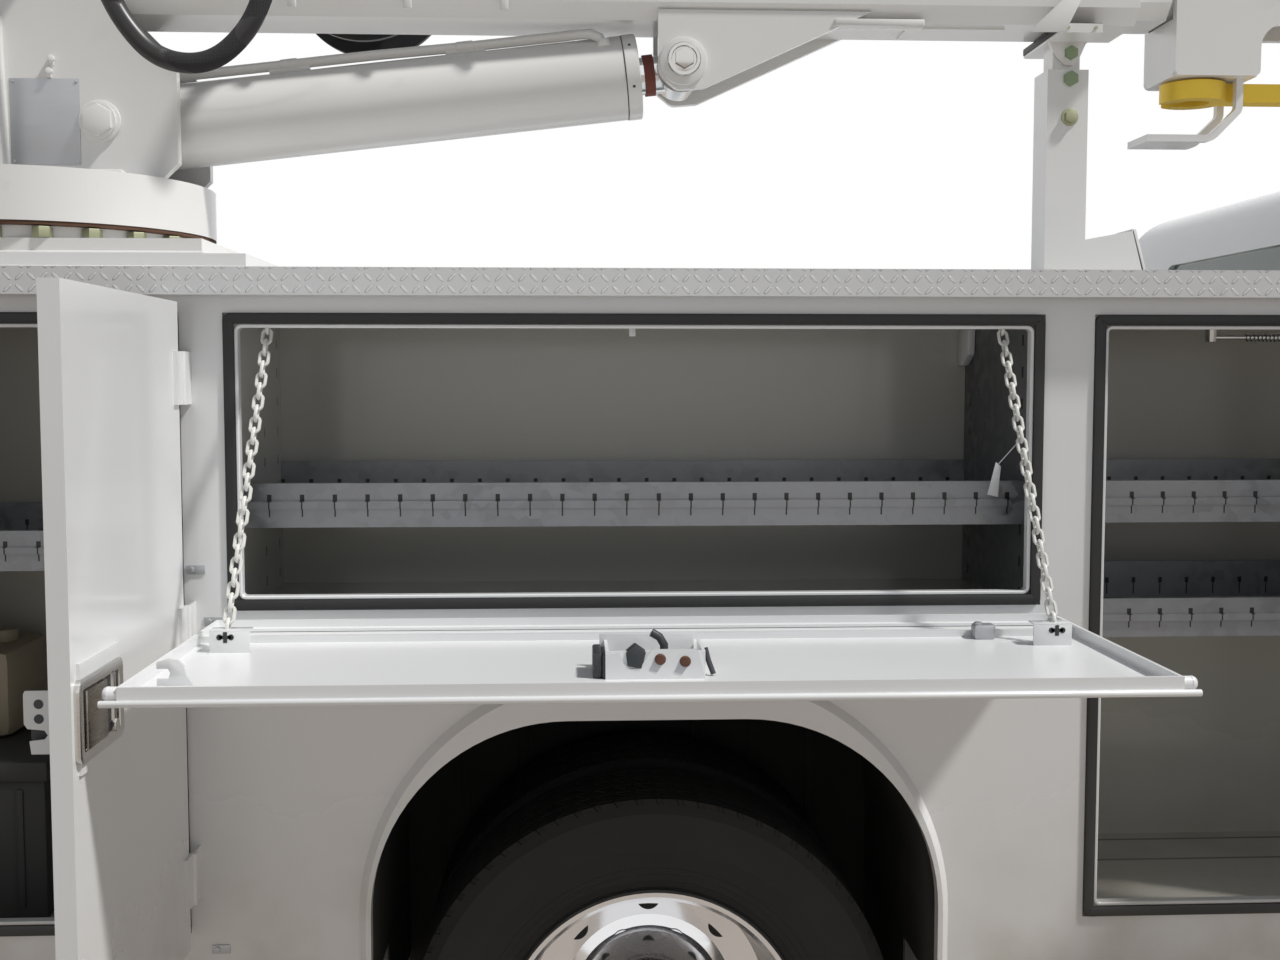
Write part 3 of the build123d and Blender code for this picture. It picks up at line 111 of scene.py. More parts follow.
class Graph:
    """A node tree with short calls for adding and joining nodes."""

    def __init__(self, tree: bpy.types.NodeTree, shader: bpy.types.Node | None = None) -> None:
        """Keep the tree that nodes are added to, and its shader if it has one."""
        self.tree, self.shader = tree, shader

    def join(self, value: object, socket: bpy.types.NodeSocket) -> None:
        """Link a value to a socket, or set a number or colour there."""
        if isinstance(value, Value):
            self.tree.links.new(value.socket, socket)
        else:
            socket.default_value = (*value, 1.0) if socket.type == "RGBA" else value

    def node(self, kind: str, inputs: dict | None = None, **settings: object) -> bpy.types.Node:
        """Add a node of a type, with attributes set first and then inputs by name or index."""
        made = self.tree.nodes.new("ShaderNode" + kind)
        for name, value in settings.items():
            setattr(made, name, value)
        for name, value in (inputs or {}).items():
            self.join(value, made.inputs[name])
        return made

    def out(self, output: int | str, kind: str, inputs: dict | None = None, **settings: object) -> Value:
        """One output of a new node."""
        return Value(self, self.node(kind, inputs, **settings).outputs[output])

    def math(self, operation: str, a: Value | float, b: Value | float = 0.0, clamp: bool = False) -> Value:
        """Output of a Math node."""
        return self.out(0, "Math", {0: a, 1: b}, operation=operation, use_clamp=clamp)

    def ramp(self, value: Value, low: float, high: float, start: float = 0.0, end: float = 1.0) -> Value:
        """Smooth step of low..high onto start..end."""
        return self.out("Result", "MapRange", {"Value": value, "From Min": low, "From Max": high, "To Min": start,
                                               "To Max": end}, interpolation_type="SMOOTHSTEP")

    def mix(self, factor: Value | float, a: Value | Colour, b: Value | Colour) -> Value:
        """Colour between a and b."""
        return self.out(2, "Mix", {0: factor, 6: a, 7: b}, data_type="RGBA")

    def place(self) -> Value:
        """Object coordinates."""
        return self.out("Object", "TexCoord")

    def xyz(self) -> tuple[Value, Value, Value]:
        """Object x, y and z."""
        parts = self.node("SeparateXYZ", {0: self.place()}).outputs
        return Value(self, parts[0]), Value(self, parts[1]), Value(self, parts[2])

    def split(self) -> tuple[Value, Value, Value]:
        """Object x, distance from the middle plane, and height."""
        along, out, up = self.xyz()
        return along, abs(out), up

    def stretched(self, scale: Point, turn: Point = (0.0, 0.0, 0.0)) -> Value:
        """Object coordinates turned and scaled."""
        return self.out(0, "Mapping", {"Vector": self.place(), "Rotation": turn, "Scale": scale})

    def noise(self, scale: Value | float, detail: float = 3.0, vector: Value | None = None) -> Value:
        """Noise on object coordinates or on a given vector."""
        return self.out("Fac", "TexNoise", {"Vector": vector or self.place(), "Scale": scale, "Detail": detail})

    def group(self, tree: bpy.types.NodeTree, **inputs: Value | float) -> Value:
        """Output of an effect placed with its own values."""
        return self.out(0, "Group", inputs, node_tree=tree)

    def most(self, masks: Iterable[Value]) -> Value:
        """Highest of several masks."""
        return reduce(lambda a, b: self.math("MAXIMUM", a, b), masks)

    def holes(self, run: Value, across: Value, columns: Sequence[float], half: float) -> Value:
        """Columns of punched keyholes, each of a half width."""
        return self.most(self.group(slots(), Run=run, Across=across - column, Pitch=KEYHOLE_PITCH, Narrow=half,
                                    Wide=half, Low=-half + 0.004, Split=0.5, High=half - 0.004) for column in columns)

    def set(self, **values: object) -> None:
        """Join values to the shader's inputs, named with underscores for spaces."""
        for name, value in values.items():
            self.join(value, self.shader.inputs[name.replace("_", " ")])

    def base(self) -> Value:
        """What the shader's colour is joined to."""
        return Value(self, self.shader.inputs["Base Color"].links[0].from_socket)

    def bump(self, height: Value, depth: float, strength: float) -> None:
        """Bump the shader's surface by a height of a given depth in metres."""
        self.set(Normal=self.out("Normal", "Bump", {"Height": height, "Distance": depth, "Strength": strength}))


class Effect(Graph):
    """A shader node group with float inputs and one float output."""

    def __init__(self, name: str, **inputs: float) -> None:
        """Open the group."""
        super().__init__(bpy.data.node_groups.new(name, "ShaderNodeTree"))
        for label, value in inputs.items():
            socket = self.tree.interface.new_socket(label, in_out="INPUT", socket_type="NodeSocketFloat")
            socket.default_value = value
        self.given = [Value(self, socket) for socket in self.tree.nodes.new("NodeGroupInput").outputs][:len(inputs)]

    def close(self, value: Value) -> bpy.types.NodeTree:
        """Give the group its output."""
        self.tree.interface.new_socket("Mask", in_out="OUTPUT", socket_type="NodeSocketFloat")
        self.join(value, self.tree.nodes.new("NodeGroupOutput").inputs["Mask"])
        return self.tree


@cache
def grime() -> bpy.types.NodeTree:
    """Road dust that thickens towards the ground, broken up by noise."""
    g = Effect("road_grime", Top=1.0, Foot=0.3, Patches=0.15)
    top, foot, patches = g.given
    rise = (top - g.xyz()[2]) / (top - foot)
    low = g.ramp(rise, 0.0, 1.0) * g.ramp(g.noise(7.0, 6.0), 0.3, 0.75, 0.35, 1.0)
    return g.close(g.math("ADD", low, g.ramp(g.noise(2.3, 8.0), 0.52, 0.78) * patches, clamp=True))


@cache
def scuffs() -> bpy.types.NodeTree:
    """Short scratches and chips."""
    g = Effect("scuffs", Scale=14.0, Amount=0.5)
    scale, amount = g.given
    streak = g.noise(scale, 5.0, g.stretched((1.0, 9.0, 1.0), (0.4, 0.9, 0.3)))
    return g.close(g.ramp(streak, 0.62, 0.7) * g.ramp(g.noise(3.1, 3.0), 0.5, 0.62) * amount)


@cache
def slots() -> bpy.types.NodeTree:
    """One row or column of punched slots, wide at one end, between two limits."""
    g = Effect("punched_slots", Run=0.0, Across=0.0, Pitch=0.05, Narrow=0.001, Wide=0.004, Low=0.0, Split=0.5, High=1.0)
    run, across, pitch, narrow, wide, low, split, high = g.given
    off = abs((run / pitch).off_beat()) * pitch
    width = narrow + (across > split) * (wide - narrow)
    return g.close((off < width) * ((across > low) * (across < high)))


@cache
def tread() -> bpy.types.NodeTree:
    """Raised lozenges of tread plate, lying crosswise in turn, unrolled round a folded edge."""
    g = Effect("tread_lozenges", Pitch=0.0178)
    x, y, z = g.xyz()
    across, along = x / g.given[0], (y + z) / g.given[0]
    odd = g.math("MODULO", abs(g.math("FLOOR", across) + g.math("FLOOR", along)), 2.0)
    turn = odd * 2.0 - 1.0
    a, b = across.off_beat(), along.off_beat()
    long_way, short_way = (a + turn * b) / 0.66, (b - turn * a) / 0.2
    return g.close(g.ramp(g.math("SQRT", long_way * long_way + short_way * short_way), 0.7, 1.0, 1.0, 0.0))


@dataclass(frozen=True)
class Finish:
    """A surface finish made once as a material."""

    name: str
    colour: Colour
    roughness: float = 0.4
    metallic: float = 0.0

    def material(self) -> bpy.types.Material:
        """The finish's material, made on first use."""
        made = bpy.data.materials.get(self.name)
        if not made:
            made = bpy.data.materials.new(self.name)
            made.use_nodes = True
            g = Graph(made.node_tree, made.node_tree.nodes["Principled BSDF"])
            g.set(Base_Color=self.colour, Roughness=self.roughness, Metallic=self.metallic)
            self.dress(g)
        return made

    def tones(self, *shares: float) -> list[Colour]:
        """The colour at several strengths."""
        return [tuple(part * share for part in self.colour) for share in shares]

    def dress(self, g: Graph) -> None:
        """Add the finish's own detail: here a fine grain in roughness and bump."""
        g.set(Roughness=g.ramp(g.noise(90.0, 4.0), 0.3, 0.7, self.roughness * 0.85, self.roughness * 1.15))
        g.bump(g.noise(420.0, 2.0), 0.0006, 0.12)


@dataclass(frozen=True)
class Paint(Finish):
    """Enamel over steel with dust low down, faint orange peel, scuffs and a few rust specks."""

    coat: float = 0.6
    dust_top: float = 0.95
    dust: Colour = (0.43, 0.38, 0.31)
    patches: float = 0.05
    worn: float = 0.25
    under: Colour = (0.2, 0.09, 0.05)

    def dress(self, g: Graph) -> None:
        """Lay dust and wear over the enamel."""
        dirt = g.group(grime(), Top=self.dust_top, Patches=self.patches)
        enamel = self.enamel(g, g.mix(g.ramp(g.noise(1.4, 4.0), 0.25, 0.75), *self.tones(1.0, 0.93)))
        scratched = g.mix(g.group(scuffs(), Amount=self.worn), g.mix(dirt, enamel, self.dust), self.under)
        g.set(Base_Color=scratched, Roughness=g.ramp(dirt, 0.0, 1.0, self.roughness, 0.75), Coat_Weight=self.coat,
              Coat_Roughness=0.12)
        g.bump(g.noise(160.0, 2.0), 0.0004, 0.08)

    def enamel(self, g: Graph, colour: Value) -> Value:
        """Colour of the enamel before dust and wear; a finish of several colours changes it here."""
        return colour


@dataclass(frozen=True)
class PackPaint(Paint):
    """Body enamel that turns to a darker cream in the compartments as painted shade, with punched shelf columns whose
    keyholes are painted dark as the shade seen through them.
    """

    # Darker cream of the compartments' inside: painted shade.
    inside: Colour = (0.56, 0.55, 0.505)
    skin: Span = (0.6975, 1.168)
    ends: Span = (REAR_AXLE_X - 1.416, REAR_AXLE_X + 1.446)
    rise: Span = (0.60, 1.62)
    columns: tuple[float, ...] = (0.735, 0.85, 1.055)
    keyhole_half: float = 0.0085

    def enamel(self, g: Graph, colour: Value) -> Value:
        """Darker cream inboard of the side sheets as painted shade, with keyholes up the shelf columns painted near
        black as the shade seen through them.
        """
        along, out, up = g.split()
        room = reduce(Value.__mul__, [(value > low) * (value < high) for value, (low, high) in
                                      ((out, self.skin), (along, self.ends), (up, self.rise))])
        # Painted shade: keyholes near black, and a darker cream inside the compartments.
        keyholes = g.holes(up, out, self.columns, self.keyhole_half) * room
        return g.mix(keyholes, g.mix(room, colour, self.inside), (0.02, 0.02, 0.02))


@dataclass(frozen=True)
class Tread(Paint):
    """Painted tread plate."""

    def dress(self, g: Graph) -> None:
        """Paint with raised lozenges, the floor between them painted greyer than the lozenges."""
        super().dress(g)
        raised, old = g.group(tread()), g.base()
        # The floor between the lozenges is painted greyer than the raised lozenges.
        g.set(Base_Color=g.mix(raised, g.mix(0.22, old, (0.42, 0.42, 0.43)), old))
        g.bump(raised, 0.0018, 0.9)


@dataclass(frozen=True)
class Steel(Finish):
    """Bare or plated metal with drawn grain and a little stain."""

    stain: Colour = (0.16, 0.13, 0.11)
    stained: float = 0.25

    def dress(self, g: Graph) -> None:
        """Stain in soft patches and give the roughness a streak."""
        streak = g.noise(6.0, 5.0, g.stretched((2.0, 2.0, 60.0)))
        g.set(Base_Color=g.mix(g.ramp(g.noise(5.0, 7.0), 0.5, 0.8) * self.stained, self.colour, self.stain),
              Roughness=g.ramp(streak, 0.2, 0.8, self.roughness * 0.75, self.roughness * 1.3))
        g.bump(streak, 0.0003, 0.06)


@dataclass(frozen=True)
class ShelfZinc(Finish):
    """Hot-dip zinc with crystal spangle and dull runs, and the divider slots of the shelf trays' lips painted near
    black as the shade seen through them.

    A side panel has columns of keyholes instead of the trays' rows.
    """

    trays: tuple[Span, ...] = ((1.258, 0.072), (1.260, 0.070), (1.067, 0.065), (1.190, 0.065))
    pitch: float = 0.0527
    first: float = -2.080
    columns: tuple[float, ...] = ()

    def dress(self, g: Graph) -> None:
        """Vary tone and roughness from crystal to crystal, then paint the slots near black as the shade seen through
        them.
        """
        crystal = g.node("TexVoronoi", {"Vector": g.place(), "Scale": 55.0}).outputs
        tone = g.out(0, "SeparateColor", {0: Value(g, crystal["Color"])})
        spangle = g.mix(tone, *self.tones(0.82, 1.12))
        zinc = g.mix(g.ramp(g.noise(3.0, 6.0), 0.35, 0.7) * 0.5, spangle, (0.3, 0.3, 0.31))
        g.bump(Value(g, crystal["Distance"]), 0.0003, 0.08)
        along, out, up = g.split()
        if self.columns:
            punched = g.holes(up, out, self.columns, 0.009)
        else:
            run = along - self.first + self.pitch / 2
            punched = g.most(g.group(slots(), Run=run, Across=up, Pitch=self.pitch, Narrow=0.0012, Wide=0.0036,
                                     Low=z + lip * 0.24, Split=z + lip * 0.58, High=z + lip * 0.74)
                             for z, lip in self.trays)
        # Slots and keyholes are painted near black and not metallic: painted shade seen through the holes.
        g.set(Base_Color=g.mix(punched, zinc, (0.008, 0.008, 0.009)), Metallic=(1.0 - punched) * self.metallic,
              Roughness=g.ramp(tone, 0.0, 1.0, self.roughness * 0.8, self.roughness * 1.25))


@dataclass(frozen=True)
class Rubber(Finish):
    """Black rubber greyed by dust."""

    dust: Colour = (0.16, 0.15, 0.13)
    dusty: float = 0.5

    def dress(self, g: Graph) -> None:
        """Dust in the grain, thicker near the ground."""
        g.set(Base_Color=g.mix(g.group(grime(), Top=1.2) * self.dusty, self.colour, self.dust))
        g.bump(g.noise(300.0, 3.0), 0.0005, 0.25)


@dataclass(frozen=True)
class TyreRubber(Rubber):
    """Tyre rubber with moulded sidewall rings and a blocked tread round one axle."""

    axle: float = 0.0
    tread_radius: float = 0.3965
    blocks: float = 74.0
    rib_pitch: float = 0.0402
    ring_radius: float = 0.292

    def dress(self, g: Graph) -> None:
        """Rings on the sidewall, ribs and sipes on the tread, with painted shade in the grooves."""
        super().dress(g)
        along, out, up = g.split()
        a, b = along - self.axle, up - WHEEL_Z
        radius = g.math("SQRT", a * a + b * b)
        rib = abs((out / self.rib_pitch).off_beat())
        sipe = abs((g.math("ARCTAN2", b, a) * (self.blocks / math.tau) + rib * 1.1).off_beat())
        block = g.ramp(rib, 0.06, 0.12) * g.ramp(sipe, 0.1, 0.18)
        on_tread = radius > self.tread_radius
        rings = g.ramp(g.math("SINE", radius * 520.0), 0.2, 0.9) * (radius < self.ring_radius)
        # Grooves between the tread blocks are painted darker than the rubber: painted shade in the grooves.
        g.set(Base_Color=g.mix(on_tread * (1.0 - block), g.base(), (0.004, 0.004, 0.004)))
        g.bump(block * on_tread + rings * 0.2, 0.009, 0.8)


@dataclass(frozen=True)
class Braid(Rubber):
    """Woven nylon sleeve round a hose, bound with tape here and there."""

    def dress(self, g: Graph) -> None:
        """Crossed fine threads with smoother taped lengths."""
        super().dress(g)
        x, _, z = g.xyz()
        weave = g.math("SINE", (x + z) * 1500.0) * g.math("SINE", (x - z) * 1500.0)
        tape = g.ramp(g.noise(11.0, 1.0), 0.53, 0.56)
        g.set(Roughness=g.ramp(tape, 0.0, 1.0, 0.8, 0.35))
        g.bump(weave * (1.0 - tape), 0.0012, 0.6)


@dataclass(frozen=True)
class Cloth(Finish):
    """Woven seat cloth."""

    def dress(self, g: Graph) -> None:
        """Cross two fine waves for the weave."""
        x, y, z = g.xyz()
        weave = g.math("SINE", y * 2600.0) * g.math("SINE", (x + z) * 2600.0)
        g.set(Base_Color=g.mix(g.ramp(weave, -1.0, 1.0), *self.tones(0.6, 1.0)), Sheen_Weight=0.3)
        g.bump(weave, 0.0008, 0.4)


@dataclass(frozen=True)
class Glass(Finish):
    """Clear or tinted glass with a film of dust."""

    clear: float = 0.9

    def dress(self, g: Graph) -> None:
        """Let light through and dust the roughness."""
        g.set(Transmission_Weight=self.clear, IOR=1.45,
              Roughness=g.ramp(g.noise(4.0, 6.0), 0.4, 0.8, self.roughness, self.roughness + 0.12))


WHITE = Paint("white_enamel", (0.80, 0.805, 0.81), 0.26, worn=0.0, patches=0.02)
PACK = PackPaint("body_pack_enamel", (0.80, 0.805, 0.81), 0.27, worn=0.0, patches=0.02)
# The drop doors' pan enamel is a lighter copy of the body white: painted sunlight on the pan.
SUNLIT_PAN = Paint("door_pan_enamel", (0.83, 0.835, 0.84), 0.3, coat=0.15, worn=0.0, patches=0.02)
TREAD = Tread("tread_plate_enamel", (0.76, 0.765, 0.77), 0.38, coat=0.2, worn=0.05)
CRANE = Paint("crane_enamel", (0.79, 0.785, 0.77), 0.33, dust_top=0.5, worn=0.1, patches=0.08, under=(0.45, 0.4, 0.34))
FRAME_BLACK = Paint("frame_black", (0.022, 0.022, 0.024), 0.5, coat=0.1, dust_top=1.0, dust=(0.1, 0.085, 0.07))
LEG = Paint("leg_enamel", (0.74, 0.74, 0.73), 0.4, dust_top=0.8, worn=0.35)
CHROME = Steel("wheel_chrome", (0.80, 0.80, 0.81), 0.1, 1.0, stained=0.12)
HARD_CHROME = Steel("rod_chrome", (0.76, 0.77, 0.78), 0.1, 1.0, stained=0.08)
STAINLESS = Steel("latch_stainless", (0.60, 0.59, 0.57), 0.2, 1.0, stained=0.1)
PADDLE = Steel("latch_paddle_steel", (0.30, 0.27, 0.235), 0.28, 1.0, stained=0.15)
BOLT = Steel("olive_plated_bolt", (0.36, 0.37, 0.24), 0.42, 0.55, stained=0.4)
GREEN_BOLT = Paint("green_marked_bolt", (0.14, 0.3, 0.12), 0.5, coat=0.1, dust_top=0.2, worn=0.5)
RUST_BOLT = Steel("rusty_bolt", (0.12, 0.055, 0.035), 0.7, 0.3, stained=0.6)
RUST = Steel("rusty_seal_line", (0.1, 0.05, 0.03), 0.9, 0.0, stain=(0.26, 0.17, 0.1), stained=0.9)
WIPER = Rubber("rod_wiper_rubber", (0.19, 0.045, 0.03), 0.6, dusty=0.2)
SHELF = ShelfZinc("galvanised_shelf", (0.235, 0.245, 0.26), 0.45, 0.8)
PANEL = ShelfZinc("galvanised_side_panel", (0.13, 0.135, 0.145), 0.5, 0.6, columns=(0.745, 1.055))
LINK = Paint("chain_enamel", (0.74, 0.735, 0.7), 0.45, coat=0.1, dust_top=0.3, worn=0.55, under=(0.3, 0.28, 0.25))
SEAL = Rubber("door_seal_rubber", (0.012, 0.012, 0.013), 0.55, dusty=0.25)
REAR_TYRE = TyreRubber("rear_tyre_rubber", (0.006, 0.0055, 0.006), 0.75, dusty=0.07, axle=REAR_AXLE_X)
FRONT_TYRE = TyreRubber("front_tyre_rubber", (0.006, 0.0055, 0.006), 0.75, dusty=0.07, axle=FRONT_AXLE_X)
FLAP = Rubber("flap_rubber", (0.018, 0.018, 0.018), 0.7, dusty=0.7)
BLACK = Finish("black_plastic", (0.02, 0.02, 0.021), 0.5)
SLEEVE = Braid("hose_sleeve", (0.014, 0.013, 0.015), 0.8, dusty=0.2)
SEAT = Cloth("seat_cloth", (0.11, 0.11, 0.12), 0.9)
WINDOW = Glass("window_glass", (0.55, 0.62, 0.6), 0.03)
LENS = Glass("lamp_lens", (0.9, 0.92, 0.94), 0.05, clear=0.8)
RED_LENS = Glass("red_lens", (0.5, 0.02, 0.015), 0.15, clear=0.3)
AMBER_LENS = Glass("amber_lens", (0.75, 0.26, 0.02), 0.15, clear=0.3)
HOOK = Paint("hook_yellow", (0.80, 0.42, 0.035), 0.42, coat=0.2, dust_top=0.2, worn=0.9, under=(0.16, 0.07, 0.03))
RESERVOIR = Finish("beige_reservoir_plastic", (0.42, 0.36, 0.26), 0.45)
# Near-black chrome of the rims' inner barrel: painted shade inside the rim.
RIM_SHADOW = Steel("rim_barrel_chrome", (0.10, 0.10, 0.105), 0.22, 1.0, stained=0.3)
# Near-black sheet colour that closes each rear wheel well: painted shade, with real dust over it.
WHEEL_WELL_SHADE = Rubber("wheel_house_undercoat", (0.012, 0.011, 0.011), 0.85, dusty=0.35)
SATIN = Steel("blank_data_plate", (0.42, 0.43, 0.45), 0.4, 0.7, stained=0.15)
DARK_STEEL = Steel("latch_rotor_steel", (0.05, 0.055, 0.06), 0.45, 0.6, stained=0.3)
FLOOR = Finish("pale_floor", (0.455, 0.405, 0.36), 0.8)


class Form:
    """One mesh piece grown from bmesh operators. On a side of the truck, y is the distance from the middle plane."""

    def __init__(self, name: str, side: Side = Side.LEFT) -> None:
        """Start an empty piece, on a side."""
        self.name = name
        self.mesh = bmesh.new()
        self.side = side

    def at(self, point: Point) -> Vector:
        """The point or direction on this piece's side."""
        return Vector((point[0], point[1] * self.side.value, point[2]))

    def block(self, x: Span, y: Span, z: Span, bevel: float = 0.0) -> None:
        """Add a box between values of x, y and z, its edges rounded by bevel."""
        made = bmesh.ops.create_cube(self.mesh, size=1.0)["verts"]
        spans = (x, tuple(value * self.side.value for value in y), z)
        size = [max(abs(b - a), 1e-5) for a, b in spans]
        centre = [(a + b) / 2 for a, b in spans]
        bmesh.ops.transform(self.mesh, matrix=Matrix.Translation(centre) @ Matrix.Diagonal((*size, 1.0)), verts=made)
        if bevel:
            self.bevel({edge for vert in made for edge in vert.link_edges}, bevel)

    def bevel(self, edges: Iterable[bmesh.types.BMEdge], size: float) -> None:
        """Round edges in two steps."""
        bmesh.ops.bevel(self.mesh, geom=list(edges), offset=size, offset_type="OFFSET", segments=2, profile=0.5,
                        affect="EDGES", material=-1, clamp_overlap=True)

    def rod(self, start: Point, run: Point, radius: float, end_radius: float | None = None, sides: int = 24,
            bevel: float = 0.0) -> None:
        """Add a round or many-sided bar from a point along a run."""
        a, b = self.at(start), self.at([one + step for one, step in zip(start, run)])
        turn = (b - a).to_track_quat("Z", "Y").to_matrix().to_4x4()
        made = bmesh.ops.create_cone(self.mesh, cap_ends=True, cap_tris=False, segments=sides, radius1=radius,
                                     radius2=radius if end_radius is None else end_radius, depth=(b - a).length,
                                     matrix=Matrix.Translation((a + b) / 2) @ turn)["verts"]
        if bevel:
            self.bevel([edge for edge in {e for v in made for e in v.link_edges}
                        if any(len(face.verts) > 4 for face in edge.link_faces)], bevel)

    def plate(self, corners: Sequence[Point], thickness: Point, bevel: float = 0.0) -> None:
        """Add a plate: a flat outline pushed out by a thickness vector."""
        face = self.mesh.faces.new([self.mesh.verts.new(self.at(corner)) for corner in corners])
        pushed = bmesh.ops.extrude_face_region(self.mesh, geom=[face])["geom"]
        far = [item for item in pushed if isinstance(item, bmesh.types.BMVert)]
        bmesh.ops.translate(self.mesh, vec=self.at(thickness), verts=far)
        if bevel:
            self.bevel({edge for vert in list(face.verts) + far for edge in vert.link_edges}, bevel)

    def spun(self, profile: Sequence[Span], centre: Point, axis: Point, steps: int = 48) -> None:
        """Add a turned shape from (radius, along the axis) points, closed or ending on the axis."""
        centre, way = self.at(centre), self.at(axis).normalized()
        out = way.orthogonal().normalized()
        verts = [self.mesh.verts.new(centre + out * radius + way * along) for radius, along in profile]
        bmesh.ops.spin(self.mesh, geom=verts + self.loop(verts), cent=centre, axis=way, angle=math.tau, steps=steps,
                       use_merge=True, use_normal_flip=False, use_duplicate=False)

    def loop(self, verts: Sequence[bmesh.types.BMVert]) -> list[bmesh.types.BMEdge]:
        """Edges round a closed row of vertices."""
        return [self.mesh.edges.new(pair) for pair in zip(verts, verts[1:] + verts[:1])]

    def ring(self, sections: Sequence[Sequence[Vector]], closed: bool = True) -> None:
        """Bridge a row of cross sections in the truck's frame into a ring, or into a capped tube."""
        ends = [[self.mesh.verts.new(corner) for corner in corners] for corners in sections]
        rings = [self.loop(verts) for verts in ends]
        for one, two in zip(rings, rings[1:] + (rings[:1] if closed else [])):
            bmesh.ops.bridge_loops(self.mesh, edges=one + two)
        if not closed:
            self.mesh.faces.new(ends[0])
            self.mesh.faces.new(ends[-1])

    def rim(self, across: Span, up: Span, corner: float, section: Sequence[Span], turned: bool = False) -> None:
        """Add a rounded frame whose section is rows of (inset, distance in the facing direction).

        A turned rim lies across y and faces along x. Otherwise it lies across x and faces along y.
        """
        sections = []
        for a, b, out_a, out_b in rounded_loop(across, up, corner):
            row = [(a - out_a * inset, proud, b - out_b * inset) for inset, proud in section]
            sections.append([self.at((y, x, z) if turned else (x, y, z)) for x, y, z in row])
        self.ring(sections)

    def pipe(self, points: Sequence[Point], radius: float, sides: int = 14) -> None:
        """Add a rigid bent pipe along points, mitred at each bend."""
        spots = [self.at(point) for point in points]
        sections = []
        up = Vector((0.0, 1.0, 0.0))
        for k, spot in enumerate(spots):
            back = (spot - spots[k - 1]).normalized() if k else (spots[1] - spot).normalized()
            ahead = (spots[k + 1] - spot).normalized() if k + 1 < len(spots) else back
            way = (back + ahead).normalized()
            one = (up - way * up.dot(way)).normalized()
            sections.append(circle(spot, one, way.cross(one), radius, sides))
        self.ring(sections, closed=False)

    def done(self, finish: Finish, body: str | None, smooth: float = 35.0) -> bpy.types.Object:
        """Close the piece into an object that rides a CAD body, or rides none when no body is given.

        Edges flatter than the smooth angle are shaded smooth.
        """
        bmesh.ops.remove_doubles(self.mesh, verts=self.mesh.verts, dist=MERGE)
        bmesh.ops.recalc_face_normals(self.mesh, faces=self.mesh.faces)
        data = bpy.data.meshes.new(self.name)
        self.mesh.to_mesh(data)
        self.mesh.free()
        for face in data.polygons:
            face.use_smooth = True
        data.set_sharp_from_angle(angle=math.radians(smooth))
        data.materials.append(finish.material())
        made = bpy.data.objects.new(self.name, data)
        bpy.context.scene.collection.objects.link(made)
        if body:
            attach(made, body)
        return made


@contextmanager
def piece(name: str, finish: Finish, body: str, side: Side = Side.LEFT) -> Iterator[Form]:
    """A form that is closed onto its body when the block ends."""
    form = Form(name, side)
    yield form
    form.done(finish, body)


def circle(centre: Vector, one: Vector, two: Vector, radius: float, sides: int) -> list[Vector]:
    """Points round a circle in the plane of two directions."""
    turns = [math.tau * k / sides for k in range(sides)]
    return [centre + (one * math.cos(turn) + two * math.sin(turn)) * radius for turn in turns]


def rounded_loop(x: Span, z: Span, radius: float, steps: int = 6) -> list[tuple[float, float, float, float]]:
    """Points round a rectangle with rounded corners, as rows of (across, up, outward across, outward up)."""
    rows = []
    for cx, cz, first in ((x[1], z[1], 0), (x[0], z[1], 90), (x[0], z[0], 180), (x[1], z[0], 270)):
        sx, sz = (-1 if cx == x[1] else 1), (-1 if cz == z[1] else 1)
        for k in range(steps + 1):
            angle = math.radians(first + 90 * k / steps)
            ax, az = math.cos(angle), math.sin(angle)
            rows.append((cx + sx * radius + ax * radius, cz + sz * radius + az * radius, ax, az))
    return rows


